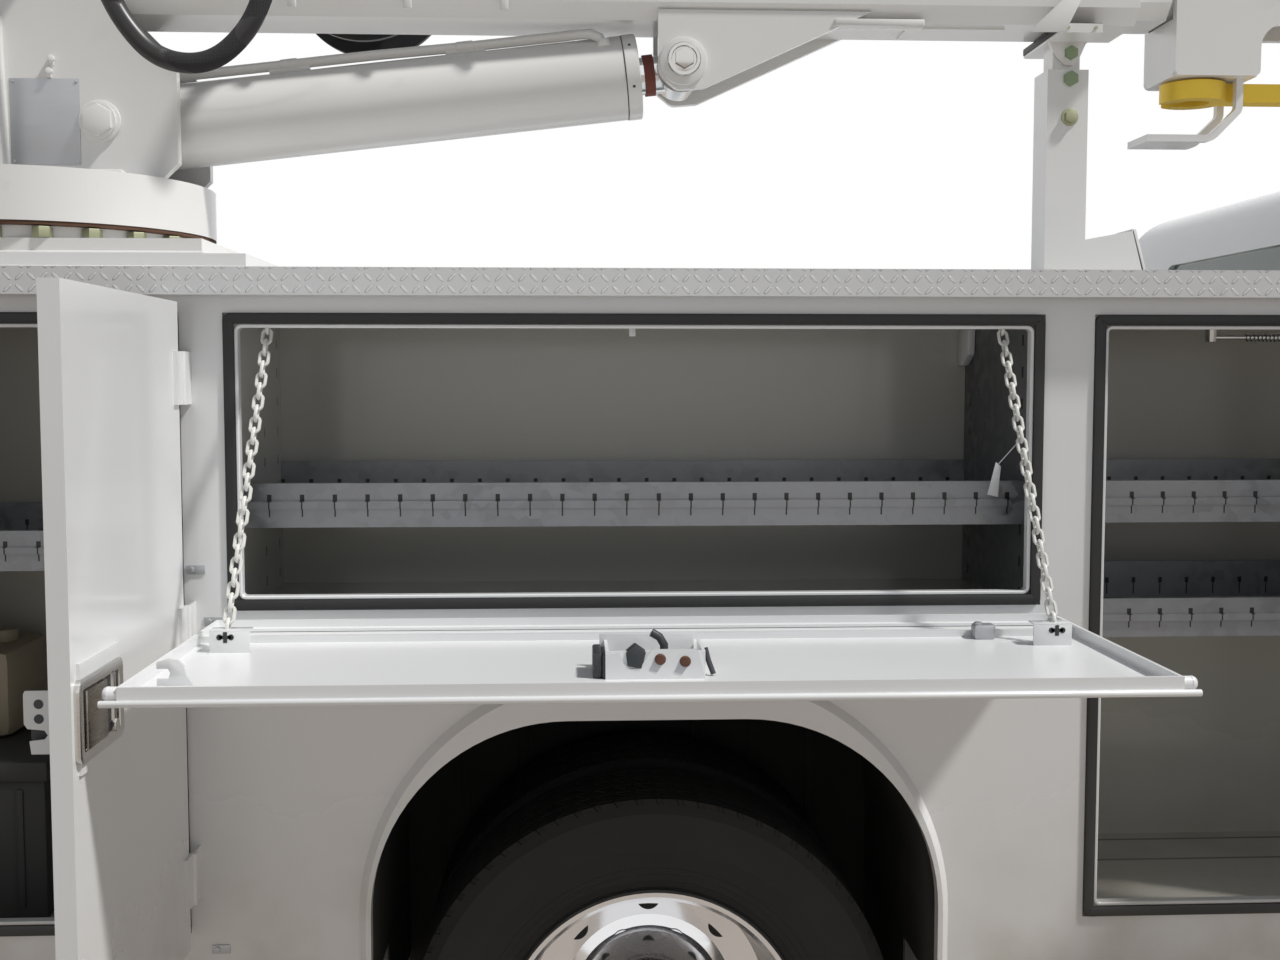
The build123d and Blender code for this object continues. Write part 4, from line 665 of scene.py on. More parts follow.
@dataclass
class Studio:
    """Floor, lights and the camera that stands where the photographer stood."""

    eye: Point = (-1.592, -3.421, 1.494)
    yaw: float = 2.78
    pitch: float = 3.92
    focal_pixels: float = 1430.0
    picture_width: float = 1280.0
    sensor: float = 36.0
    floor_size: float = 40.0
    sun_way: Point = (-0.68, 0.27, -1.0)

    def add(self, data: bpy.types.ID) -> bpy.types.Object:
        """Put data in the scene as an object of the same name."""
        made = bpy.data.objects.new(data.name, data)
        bpy.context.scene.collection.objects.link(made)
        return made

    def build(self) -> None:
        """Make the camera, the floor, the lamp and the world."""
        self.camera()
        self.floor()
        self.light()
        bpy.context.scene.view_settings.view_transform = "Standard"

    def camera(self) -> None:
        """Aim the camera along the photographer's line of sight."""
        data = bpy.data.cameras.new("photo_camera")
        data.sensor_width = self.sensor
        data.lens = self.focal_pixels / self.picture_width * self.sensor
        data.clip_end = 200.0
        made = self.add(data)
        yaw, pitch = math.radians(self.yaw), math.radians(self.pitch)
        sight = Vector((math.sin(yaw) * math.cos(pitch), math.cos(yaw) * math.cos(pitch), -math.sin(pitch)))
        made.location = self.eye
        made.rotation_euler = sight.to_track_quat("-Z", "Y").to_euler()
        bpy.context.scene.camera = made

    def floor(self) -> None:
        """Wide pale floor."""
        shape = bmesh.new()
        bmesh.ops.create_grid(shape, x_segments=1, y_segments=1, size=self.floor_size)
        data = bpy.data.meshes.new("studio_floor")
        shape.to_mesh(data)
        shape.free()
        data.materials.append(FLOOR.material())
        self.add(data)

    def light(self) -> None:
        """High soft sun from ahead, as the shadows in the photograph fall, and a dim even sky that looks white."""
        sun = bpy.data.lights.new("soft_sun", "SUN")
        sun.energy = 3.15
        sun.angle = math.radians(5.0)
        sun.color = (1.0, 0.985, 0.96)
        self.add(sun).rotation_euler = Vector(self.sun_way).to_track_quat("-Z", "Y").to_euler()
        world = bpy.data.worlds.new("pale_sky")
        bpy.context.scene.world = world
        world.use_nodes = True
        nodes = world.node_tree.nodes
        g = Graph(world.node_tree, nodes["World Output"])
        sky = nodes["Background"]
        g.join((0.84, 0.92, 1.0), sky.inputs["Color"])
        g.join(0.27, sky.inputs["Strength"])
        white = g.out(0, "Background", {"Color": (1.0, 1.0, 1.0), "Strength": 1.0})
        rays = g.node("LightPath").outputs
        seen = g.most(Value(g, rays[f"Is {kind} Ray"]) for kind in ("Camera", "Glossy", "Transmission"))
        g.set(Surface=g.out(0, "MixShader", {0: seen, 1: Value(g, sky.outputs[0]), 2: white}))


def both(name: str) -> list[str]:
    """The left and the right node of a name."""
    return [f"{name}_{side.label}" for side in Side]


@dataclass
class CadFinishes:
    """Finishes of the CAD nodes that stay as they are; a node that is not named is white."""

    table: dict[Finish, list[str]] = field(default_factory=lambda: {
        PACK: both("side_pack"), TREAD: ["top_plates", "tail_bumper"], SHELF: ["shelves"], SEAT: ["seats"],
        CRANE: ["boom_rest", "crane_base", "turret", "boom_outer", "boom_stage", "boom_tip", "lift_barrel"],
        FRAME_BLACK: ["chassis_frame", "rear_axle", "front_axle_beam", "leaf_springs", "powertrain", "fuel_tank",
                      "stabilizer_beam", "winch", "cab_steps", *both("knuckle")],
        LEG: both("stabilizer_leg"), CHROME: [*both("front_rim"), *both("rear_rim"), "front_bumper"],
        HARD_CHROME: ["lift_rod"], FRONT_TYRE: both("front_tyre"), REAR_TYRE: both("rear_tyre"),
        WINDOW: ["cab_glass", *both("door_glass")], LENS: ["head_lamps"], RED_LENS: ["tail_lamps"],
        BLACK: ["grille", "dashboard"], FLAP: ["mud_flaps"], HOOK: ["hook"], SLEEVE: ["crane_hose"],
        LINK: both("door_chains"), SUNLIT_PAN: both("drop_door"),
    })

    def build(self) -> None:
        """Give each node its finish."""
        finishes = {name: finish for finish, names in self.table.items() for name in names}
        for name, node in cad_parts.items():
            node.data.materials.clear()
            node.data.materials.append(finishes.get(name, WHITE).material())


@dataclass
class SideDress:
    """What is added to one side of the truck."""

    side: Side

    def piece(self, name: str, finish: Finish, node: str = "", extra: str = "") -> AbstractContextManager[Form]:
        """A piece of this side, on the body of this side's node or on the fixed body."""
        body = f"{node}_{self.side.label}" if node else "root"
        return piece(f"{name}_{self.side.label}{extra}", finish, body, self.side)


@dataclass
class OpeningTrim(SideDress):
    """Rubber seals and pressed lips round a side's compartment openings."""

    openings: dict[str, tuple[Span, Span]] = field(default_factory=lambda: {
        "rear": ((-1.207, -0.732), (0.630, 1.600)),
        "middle": ((-0.666, 0.612), (1.140, 1.600)),
        "front": ((0.691, 1.390), (0.630, 1.600)),
    })
    seal_width: float = 0.017
    lip_width: float = 0.006
    corner: float = 0.012

    def build(self) -> None:
        """Make every opening's seal and lip."""
        for name, (across, up) in self.openings.items():
            self.bead(f"{name}_seal", across, up, 0.0, self.seal_width, (-0.001, 0.0055), SEAL)
            self.bead(f"{name}_lip", across, up, self.seal_width, self.lip_width, (-0.016, 0.001), WHITE)

    def bead(self, name: str, across: Span, z: Span, inset: float, width: float, proud: Span, finish: Finish) -> None:
        """One frame of even width, inset from the opening's edge, between two distances off the side sheet."""
        x = [REAR_AXLE_X + value for value in across]
        low, high = (SIDE_PLANE + value for value in proud)
        edge = width * 0.25
        with self.piece(name, finish) as form:
            form.rim((x[0] + inset, x[1] - inset), (z[0] + inset, z[1] - inset), self.corner, (
                (0.0, low), (edge * 0.3, high - 0.001), (edge, high), (width - edge, high), (width, high - 0.0015),
                (width, low)))


@dataclass
class DoorChains(SideDress):
    """Round-wire chains that hold the drop-down door."""

    wire: float = 0.0028
    links: int = 27
    width: float = 0.0188
    top: Span = (SIDE_PLANE - 0.014, 1.588)
    foot: Span = (SIDE_PLANE + 0.204, 1.140)

    def build(self) -> None:
        """Lay each chain link by link between its pins."""
        form = Form(f"round_link_chains_{self.side.label}")
        s = self.side.value
        for end in (-1, 1):
            top = Vector((DOOR_MIDDLE + end * 0.571, s * self.top[0], self.top[1]))
            run = Vector((DOOR_MIDDLE + end * CHAIN_FOOT, s * self.foot[0], self.foot[1])) - top
            for k in range(self.links):
                centre = top + run * ((k + 0.5) / self.links)
                self.link(form, centre, run.normalized(), run.length / self.links, k % 2 == 1)
        made = form.done(LINK, None, smooth=60.0)
        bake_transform(made)
        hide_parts(f"door_chains_{self.side.label}")

    def link(self, form: Form, centre: Vector, run: Vector, pitch: float, turned: bool) -> None:
        """One link: a small circle bridged round a stadium."""
        across = Vector((1, 0, 0)) if turned else Vector((0, 1, 0))
        across = (across - run * across.dot(run)).normalized()
        half = self.width / 2 - self.wire
        straight = pitch / 2 + self.wire - half
        sections = []
        for k in range(CHAIN_STEPS):
            angle = math.tau * (k + 0.5) / CHAIN_STEPS
            a, b = math.cos(angle), math.sin(angle)
            spot = centre + run * (math.copysign(straight, a) + half * a) + across * (half * b)
            sections.append(circle(spot, run * a + across * b, run.cross(across), self.wire, WIRE_SIDES))
        form.ring(sections)


@dataclass
class CraneHose:
    """Sleeved hydraulic hose that loops from the turret to the boom."""

    diameter: float = 0.032
    length: float = 0.708
    route: tuple[Point, ...] = (
        (0.060, CRANE_Y - 0.139, 2.215), (0.060, -1.068, 2.215), (0.112, -1.096, 2.192), (0.176, -1.102, 2.130),
        (0.208, -1.102, 2.058), (0.262, -1.100, 1.998), (0.342, -1.098, 1.992), (0.402, -1.094, 2.046),
        (0.432, -1.092, 2.118), (0.437, -1.080, 2.166), (0.436, -1.050, 2.200), (0.436, CRANE_Y - 0.109, 2.200),
    )

    def build(self) -> None:
        route = [(CRANE_X + ahead, y, z) for ahead, y, z in self.route]
        data = bpy.data.curves.new("crane_hose_route", "CURVE")
        data.dimensions = "3D"
        data.resolution_u = 10
        spline = data.splines.new("NURBS")
        spline.points.add(len(route) - 1)
        for point, place in zip(spline.points, route):
            point.co = (*place, 1.0)
        spline.order_u = 3
        spline.use_endpoint_u = True
        guide = bpy.data.objects.new("crane_hose_route", data)
        bpy.context.scene.collection.objects.link(guide)
        path = [tuple(vert.co) for vert in bpy.data.meshes.new_from_object(guide).vertices]
        data.bevel_depth = self.diameter / 2
        data.bevel_resolution = 6
        data.use_fill_caps = True
        tube = bpy.data.meshes.new_from_object(guide)
        bpy.data.objects.remove(guide)
        form = Form("sleeved_crane_hose")
        form.mesh.from_mesh(tube)
        made = form.done(SLEEVE, None, smooth=60.0)
        first, last = route[0], route[-1]
        first[0] + 0.005
        last[0] - 0.006
        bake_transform(made)
        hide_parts("crane_hose")


@dataclass
class UprightDoorDress(SideDress):
    """Paddle latch and rotary latch bracket of an open upright door."""

    name: str
    outer_x: float
    free_edge: float
    bracket_inset: float = 0.036
    latch_z: Span = (1.038, 1.141)
    latch_half: float = 0.083

    def build(self) -> None:
        """Make the latch and its bracket."""
        self.latch()
        self.bracket()

    def part(self, name: str, finish: Finish) -> AbstractContextManager[Form]:
        """A piece of this door."""
        return self.piece(self.name, finish, self.name, f"_{name}")

    def latch(self) -> None:
        """Pressed frame, dark dish, paddle and round grip of the latch."""
        y, z = self.free_edge - 0.0905, sum(self.latch_z) / 2
        y0, y1 = y - self.latch_half, y + self.latch_half
        face, half = self.outer_x + 0.004, 0.0365
        with self.part("latch_frame", STAINLESS) as form:
            form.rim((y0, y1), self.latch_z, 0.014, (
                (0.0, face - 0.0045), (0.0, face + 0.003), (0.006, face + 0.0045), (0.014, face + 0.0030),
                (0.016, face + 0.0006)), turned=True)
        with self.part("latch_dish", DARK_STEEL) as dish:
            inset, (low, high) = 0.012, self.latch_z
            dish.block((face, face + 0.0012), (y0 + inset, y1 - inset), (low + inset, high - inset), 0.0005)
        with self.part("latch_paddle", PADDLE) as paddle:
            paddle.block((face + 0.0005, face + 0.0062), (y - 0.0115, y + 0.0625), (z - half, z + half), 0.002)
        with self.part("latch_grip", STAINLESS) as grip:
            grip.rod((face, y - 0.0425, z - 0.038), (0, 0, 0.076), 0.0056, sides=20)
            grip.rod((face, y - 0.0425, z - 0.030), (0.0075, 0, 0), 0.0085, bevel=0.001)
            grip.rod((face, y - 0.0425, z + 0.012), (0.0068, 0, 0), 0.0070, bevel=0.001)

    def bracket(self) -> None:
        """Folded bracket of the rotary latch, with two round holes and a slot."""
        back, near = self.outer_x - 0.026, self.free_edge - self.bracket_inset
        with self.part("rotary_bracket", WHITE) as plate:
            outline = [(-0.040, 1.125), (0.002, 1.125), (0.002, 1.048), (-0.034, 1.048), (-0.036, 1.064),
                       (-0.018, 1.066), (-0.014, 1.071), (-0.018, 1.077), (-0.038, 1.079), (-0.042, 1.085),
                       (-0.042, 1.121)]
            plate.plate([(back + x, near, z) for x, z in outline], (0, 0.003, 0))
            plate.block((back - 0.003, back + 0.001), (near - 0.06, near + 0.003), (1.05, 1.123), 0.001)
        # Dark discs and a dark block in the bracket's holes and slot: painted shade seen through them.
        with self.part("rotary_holes", DARK_STEEL) as holes:
            for z in (1.109, 1.091):
                holes.rod((back - 0.024, near + 0.0028, z), (0, 0.0006, 0), 0.0058, sides=20)
            holes.block((back - 0.038, back - 0.003), (near - 0.03, near - 0.006), (1.062, 1.12), 0.003)


@dataclass
class DropDoorDress(SideDress):
    """Slam latch, hook tab, keyhole plates, drain slots, rolled edge, corner knobs and switch of a drop-down door."""

    pan: float = 1.1145
    lip_top: float = 1.131
    latch_face: float = 1.616
    screws: tuple[Span, ...] = ((0.006, 1.1405), (0.038, 1.1375))

    def build(self) -> None:
        """Make the door's hardware."""
        self.latch()
        self.tab()
        self.marks()

    def part(self, name: str, finish: Finish) -> AbstractContextManager[Form]:
        """A piece of this side's door."""
        return self.piece(name, finish, "drop_door")

    def latch(self) -> None:
        """Rotors and lever of the slam latch on its folded bracket, with two rusty screws in their slots."""
        m, face = DOOR_MIDDLE, self.latch_face
        with self.part("slam_latch_rotors", DARK_STEEL) as rotors:
            rotors.block((m - 0.080, m - 0.068), (1.545, 1.612), (self.pan, 1.148), 0.003)
            rotors.block((m - 0.068, m - 0.060), (1.55, 1.614), (self.pan, 1.146), 0.002)
            pawl = ((-0.036, 1.132), (-0.018, 1.128), (-0.012, 1.150), (-0.026, 1.160), (-0.038, 1.150))
            rotors.plate([(m + x, 1.6, z) for x, z in pawl], (0, 0.019, 0), 0.002)
            lever = ((0.012, 1.142), (0.012, 1.156), (0.006, 1.166), (-0.004, 1.172))
            rotors.pipe([(m + x, 1.598, z) for x, z in lever], 0.0055)
            spring = ((0.066, 1.59, 1.150), (0.070, 1.594, 1.134), (0.076, 1.60, self.pan + 0.003))
            rotors.pipe([(m + x, y, z) for x, y, z in spring], 0.0036)
        with self.part("slam_latch_screws", RUST_BOLT) as screws:
            for x, z in self.screws:
                screws.rod((m + x, face - 0.001, z), (0, 0.005, 0), 0.0085, 0.0065, bevel=0.0015)
                screws.rod((m + x, face + 0.0035, z), (0, 0.0008, 0), 0.003, sides=HEXAGON)
        with self.part("slam_latch_slots", SATIN) as slanted:
            slot = ((-0.0065, 0.001), (0.0055, -0.003), (-0.004, -0.0165), (-0.014, -0.0135))
            for x, z in self.screws:
                slanted.plate([(m + x + dx, face + 0.0018, z + dz) for dx, dz in slot], (0, 0.0005, 0))
        with self.part("slam_latch_bracket", WHITE) as cheeks:
            outline = [(-0.064, self.pan), (-0.064, 1.1475), (-0.046, 1.1505), (-0.041, 1.136), (-0.032, 1.128),
                       (-0.02, 1.129), (-0.012, 1.142), (-0.004, 1.1535), (0.052, 1.1535), (0.056, 1.149),
                       (0.064, self.pan)]
            cheeks.plate([(m + x, face - 0.0005, z) for x, z in outline], (0, 0.0022, 0))
            cheeks.block((m - 0.070, m + 0.056), (1.530, 1.5345), (self.pan, 1.1600), 0.001)

    def tab(self) -> None:
        """Hook tab, rolled free edge, corner knobs and the chains' keyhole plates."""
        with self.part("door_hook_tab", WHITE) as tab:
            outline = [(0.0, -0.0165), (0.0, 0.001), (0.014, 0.001), (0.0165, 0.0075), (0.014, 0.013), (0.0, 0.013),
                       (0.0, 0.0215), (0.014, 0.026), (0.0265, 0.024), (0.0335, 0.0175), (0.036, 0.0055),
                       (0.042, -0.0035), (0.051, -0.0165)]
            tab.plate([(x - 2.0985, 1.664, z + self.lip_top) for x, z in outline], (0, 0.0035, 0), 0.0008)
            tab.rod((DOOR_MIDDLE - 0.670, 1.7125, 1.1110), (1.340, 0, 0), 0.0046, sides=16, bevel=0.0012)
            for end in (-1, 1):
                tab.rod((DOOR_MIDDLE + end * 0.660, 1.701, 1.121), (end * 0.008, 0, 0), 0.0105, 0.007, sides=20,
                        bevel=0.0025)
                x = DOOR_MIDDLE + end * CHAIN_FOOT
                wide = (x - 0.034, x + 0.022) if end > 0 else (x - 0.022, x + 0.034)
                tab.block(wide, (1.4075, 1.411), (self.pan, 1.146), 0.0008)
                tab.block(wide, (1.385, 1.411), (1.1452, 1.1472), 0.0006)

    def marks(self) -> None:
        """Keyholes and drain slots painted dark as the shade seen through them, and the light switch."""
        # Black keyholes and drain slots: painted shade seen through them.
        with self.part("door_slots", BLACK) as dark:
            for end in (-1, 1):
                x = DOOR_MIDDLE + end * CHAIN_FOOT
                for dx in (-0.008, 0.008):
                    dark.rod((x + dx, 1.4105, 1.137), (0, 0.001, 0), 0.0042, sides=16)
                dark.block((x - 0.009, x + 0.009), (1.4105, 1.4115), (1.1345, 1.1395), 0.0003)
                dark.block((x - 0.0028, x + 0.0028), (1.4105, 1.4116), (1.1290, 1.1445), 0.0003)
            for x, half, y in ((-0.918, 0.013, 1.66), (-0.868, 0.013, 1.66), (-2.123, 0.005, 1.655)):
                dark.block((x - half, x + half), (y, 1.68), (self.pan - 0.0008, self.pan + 0.0003))
        with self.part("door_light_switch", SATIN) as switch:
            switch.block((-0.998, -0.966), (1.337, 1.360), (self.pan, 1.137), 0.004)
            switch.rod((-0.990, 1.349, 1.136), (0, 0, 0.0035), 0.006, sides=16, bevel=0.001)


@dataclass
class CompartmentFit(SideDress):
    """What the compartments of one side hold: side panel, brackets, screws, door stay, battery case and reservoir."""

    stay_z: float = 1.566
    screws: tuple[Span, ...] = ((-2.169, 1.2045), (-2.144, 1.1235), (-2.142, 0.603))

    def build(self) -> None:
        """Fit out the compartments."""
        with self.piece("compartment_side_panel", PANEL) as panel:
            panel.block((-0.8362, -0.8342), (0.704, 1.162), (1.1155, 1.621), 0.0006)
        with self.piece("compartment_brackets", WHITE) as small:
            outline = ((0.703, 1.60), (0.775, 1.60), (0.770, 1.545), (0.735, 1.525), (0.703, 1.525))
            small.plate([(-0.8364, y, z) for y, z in outline], (-0.014, 0, 0), 0.002)
            small.block((-1.499, -1.489), (1.150, 1.156), (1.566, 1.590), 0.001)
        with self.piece("hinge_screws", SATIN) as screws:
            sheet = SIDE_PLANE - 0.001
            for x, z in self.screws:
                screws.rod((x - 0.008, sheet, z), (0, 0.006, 0), 0.006, 0.005, sides=HEXAGON, bevel=0.0008)
                screws.block((x - 0.016, x + 0.012), (sheet, SIDE_PLANE + 0.0025), (z - 0.007, z + 0.007), 0.001)
        with self.piece("door_stay_spring", STAINLESS) as stay:
            stay.rod((-0.560, 1.150, self.stay_z), (0.410, 0, 0), 0.0035, sides=12)
            for k in range(SPRING_TURNS):
                stay.spun([(0.0052, -0.0018), (0.0075, 0.0), (0.0052, 0.0018)],
                          (-0.500 + k * 0.0065, 1.150, self.stay_z), (1.0, 0.0, 0.12), 14)
            stay.block((-0.152, -0.140), (1.135, 1.165), (1.555, 1.62), 0.002)
            stay.block((-0.566, -0.554), (1.140, 1.160), (1.558, 1.62), 0.002)
        if self.side is Side.RIGHT:
            self.equipment()

    def equipment(self) -> None:
        """Battery case on the rear compartment's floor and the reservoir behind it."""
        with piece("battery_case", BLACK, "root", self.side) as case:
            case.block((-2.640, -2.458), (0.76, 1.06), (0.6045, 0.840), 0.010)
            case.block((-2.646, -2.452), (0.754, 1.066), (0.836, 0.872), 0.008)
            for x in (-2.60, -2.55, -2.50):
                case.block((x - 0.006, x + 0.006), (1.055, 1.064), (0.625, 0.825), 0.003)
        with piece("hydraulic_reservoir", RESERVOIR, "root", self.side) as tank:
            tank.block((-2.655, -2.565), (0.72, 0.92), (0.8725, 1.030), 0.022)
            tank.rod((-2.61, 0.82, 1.028), (0, 0, 0.024), 0.022, sides=20, bevel=0.003)


@dataclass
class WheelHouse(SideDress):
    """Near-black liner over a pair of rear wheels, a dark sheet standing in for the shade in the wheel well: an arch
    sheet and a splash panel with pressed ribs.
    """

    half: float = 0.462
    top: float = 0.982
    corner: float = 0.315
    foot: float = 0.500
    inner: float = 0.590
    outer: float = 1.172
    steps: int = 8

    def build(self) -> None:
        """Roll the arch sheet and stand the panel at its inner edge."""
        with self.piece("wheel_house_liner", WHEEL_WELL_SHADE) as form:
            path = self.arch()
            self.sheet(form, path)
            form.plate(path, (0.0, -0.003, 0.0))
            for end in (-1, 1):
                skirt = REAR_AXLE_X + end * self.half
                top = self.foot + 0.002
                form.block((REAR_AXLE_X + end * 0.120, skirt), (self.inner, self.inner - 0.003), (0.330, top))
                form.block((skirt, skirt + 0.003), (self.inner, 0.930), (0.350, top))
            for k in range(-3, 4):
                x = REAR_AXLE_X + k * 0.115
                form.block((x - 0.010, x + 0.010), (self.inner - 0.001, self.inner + 0.006), (0.54, 0.86), 0.003)

    def arch(self) -> list[Point]:
        """Points along the liner's inner edge."""
        path = [(-self.half, self.foot)]
        for start, centre in ((180, -self.half + self.corner), (90, self.half - self.corner)):
            for k in range(self.steps + 1):
                angle = math.radians(start - 90 * k / self.steps)
                path.append((centre + self.corner * math.cos(angle),
                             self.top - self.corner + self.corner * math.sin(angle)))
        path.append((self.half, self.foot))
        return [(REAR_AXLE_X + x, self.inner, z) for x, z in path]

    def sheet(self, form: Form, path: Sequence[Point]) -> None:
        """Thick sheet from the inner edge to the side of the body."""
        verts = [form.mesh.verts.new(form.at(spot)) for spot in path]
        edges = [form.mesh.edges.new(pair) for pair in zip(verts, verts[1:])]
        pushed = bmesh.ops.extrude_edge_only(form.mesh, edges=edges)["geom"]
        far = [item for item in pushed if isinstance(item, bmesh.types.BMVert)]
        bmesh.ops.translate(form.mesh, vec=form.at((0.0, self.outer - self.inner, 0.0)), verts=far)
        bmesh.ops.recalc_face_normals(form.mesh, faces=form.mesh.faces[:])
        bmesh.ops.solidify(form.mesh, geom=form.mesh.faces[:], thickness=0.002)


@dataclass
class ChainTag:
    """Small blank metal tag that hangs from one door chain."""

    y: float = -1.262

    def build(self) -> None:
        """Cut the tag and its wire loop."""
        form = Form("chain_tag")
        outline = ((-0.9415, 1.372), (-0.9335, 1.365), (-0.9375, 1.318), (-0.9540, 1.322))
        form.plate([(x, self.y, z) for x, z in outline], (0, -0.0012, 0), 0.0004)
        form.pipe([(-0.9085, -1.266, 1.402), (-0.9370, -1.2626, 1.369)], 0.0009, 8)
        made = form.done(SATIN, None)
        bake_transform(made)


@dataclass
class CraneDress:
    """Bolts, pins, pipes, seals and plates of the crane."""

    near: float = CRANE_Y - 0.115
    base_pin: Span = (CRANE_X + 0.142, 1.919)
    rod_pin: Span = (CRANE_X + 1.099, 2.032)
    cap_radius: float = 0.0722
    bolt_radius: float = 0.2795

    def build(self) -> None:
        """Dress the base, the turret, the cylinder and the boom."""
        self.bearing()
        self.turret()
        self.cylinder()
        self.boom()
        self.rest()

    def bearing(self) -> None:
        """Ring of olive bolts and the rusty line under the drum."""
        with piece("slewing_ring_bolts", BOLT, "root") as ring:
            for k in range(BEARING_BOLTS):
                angle = math.tau * (k + 0.35) / BEARING_BOLTS
                x, y = (centre + self.bolt_radius * part for centre, part in
                        ((CRANE_X, math.cos(angle)), (CRANE_Y, math.sin(angle))))
                ring.rod((x, y, 1.7155), (0, 0, 0.017), 0.0155, sides=HEXAGON, bevel=0.001)
        with piece("slewing_ring_seal", RUST, "root") as line:
            line.spun([(0.268, 1.7345), (0.2885, 1.7352), (0.2885, 1.7404), (0.268, 1.7404)], (CRANE_X, CRANE_Y, 0.0),
                      (0, 0, 1), RING)
        with piece("crane_base_welds", CRANE, "root") as weld:
            for half, y, z in ((0.41, -0.2855, 1.668), (0.34, -0.2705, 1.692)):
                weld.rod((CRANE_X - half, CRANE_Y + y, z), (2 * half, 0, 0), 0.004, sides=10)

    def turret(self) -> None:
        """Pin heads, small tabs and the blank plate on the turret's plates, and the drum's cover plates."""
        with piece("turret_pin_heads", CRANE, "slew") as pins:
            for x, z in (self.base_pin, (CRANE_X - 0.060, 2.300)):
                for s in (-1, 1):
                    pins.rod((x, CRANE_Y + s * 0.115, z), (0, s * 0.006, 0), 0.034, sides=36, bevel=0.0015)
                    pins.rod((x, CRANE_Y + s * 0.127, z), (0, s * 0.009, 0), 0.026, sides=HEXAGON, bevel=0.002)
            for x, z in ((-2.4335, 2.018), (-2.4375, 1.998)):
                pins.rod((x, self.near + 0.001, z), (0.002, -0.011, 0), 0.0052, sides=14, bevel=0.001)
                pins.block((x - 0.004, x + 0.004), (self.near - 0.003, self.near + 0.001), (z - 0.010, z), 0.001)
        with piece("blank_data_plate", SATIN, "slew") as plate:
            plate.block((-2.5020, -2.3900), (self.near - 0.0012, self.near + 0.0005), (1.848, 1.987), 0.0005)
            for x in (-2.497, -2.395):
                for z in (1.853, 1.982):
                    plate.rod((x, self.near, z), (0, -0.0026, 0), 0.0026, sides=12, bevel=0.0006)
        with piece("drum_cover_plates", CRANE, "slew") as cap:
            for x0, x1 in ((-0.235, -0.12), (0.10, 0.20)):
                cap.block((CRANE_X + x0, CRANE_X + x1), (CRANE_Y - 0.20, CRANE_Y - 0.125), (1.8235, 1.8300), 0.002)

    def along(self, distance: float, up: float = 0.0, out: float = 0.0) -> Vector:
        """Point beside the lift cylinder's centre line, at a distance from its base pin."""
        start = Vector((self.base_pin[0], CRANE_Y, self.base_pin[1]))
        way = (Vector((self.rod_pin[0], CRANE_Y, self.rod_pin[1])) - start).normalized()
        rise = Vector((-way.z, 0.0, way.x))
        return start + way * distance + rise * up + Vector((0.0, out, 0.0))

    def cylinder(self) -> None:
        """Supply pipe with its clamps, end cap, port marks and wiper."""
        base = self.along(0.0)
        way = (self.along(1.0) - base).normalized()
        self.supply_pipe()
        radius = self.cap_radius
        with piece("cylinder_end_cap", CRANE, "lift_barrel") as cap:
            cap.spun([(0.0335, 0.8680), (radius, 0.8680), (radius, 0.8895), (0.0700, 0.8910), (0.0335, 0.8910)],
                     base, way, FINE)
        with piece("cylinder_cap_marks", DARK_STEEL, "lift_barrel") as dark:
            dark.spun([(0.0705, 0.8655), (0.0714, 0.8655), (0.0714, 0.8672), (0.0705, 0.8672)], base, way, FINE)
            for up in (0.042, -0.028):
                reach = math.sqrt(radius ** 2 - up ** 2)
                start = self.along(0.878, up, -reach + 0.002)
                dark.rod(start, self.along(0.878, up * 1.01, -reach - 0.0004) - start, 0.0026, sides=14)
        with piece("rod_end_band", WIPER, "lift_rod") as wiper:
            wiper.spun([(0.0318, 0.9000), (0.0350, 0.9004), (0.0352, 0.9180), (0.0318, 0.9186)], base, way, 48)

    def supply_pipe(self) -> None:
        """Pipe over the barrel, as rows of (distance, rise, further out)."""
        top, out = 0.074, -0.020
        route = ((0.020, -0.024, 0.0), (0.052, -0.002, 0.0), (0.085, 0.006, 0.0), (0.45, 0.006, 0.0),
                 (0.60, 0.0036, 0.0), (0.772, 0.0015, -0.008), (0.795, 0.0005, -0.014), (0.815, -0.002, -0.020),
                 (0.830, -0.011, -0.024), (0.836, -0.026, -0.028))
        with piece("cylinder_supply_pipe", CRANE, "lift_barrel") as pipe:
            pipe.pipe([self.along(spot, top + rise, out + more) for spot, rise, more in route], 0.0085)
            for spot, rise in ((0.30, 0.006), (0.60, 0.0036)):
                start = self.along(spot - 0.014, top + rise, out)
                pipe.rod(start, self.along(spot + 0.014, top + rise, out) - start, 0.0098, sides=18, bevel=0.001)
                foot = self.along(spot, top - 0.003, out)
                pipe.rod(foot - Vector((0.034, 0, 0.004)), (0.068, 0, 0.008), 0.0065, sides=12, bevel=0.001)
            start = self.along(0.836, top - 0.018, out - 0.026)
            pipe.rod(start, self.along(0.836, top - 0.030, out - 0.030) - start, 0.0125, sides=20, bevel=0.002)

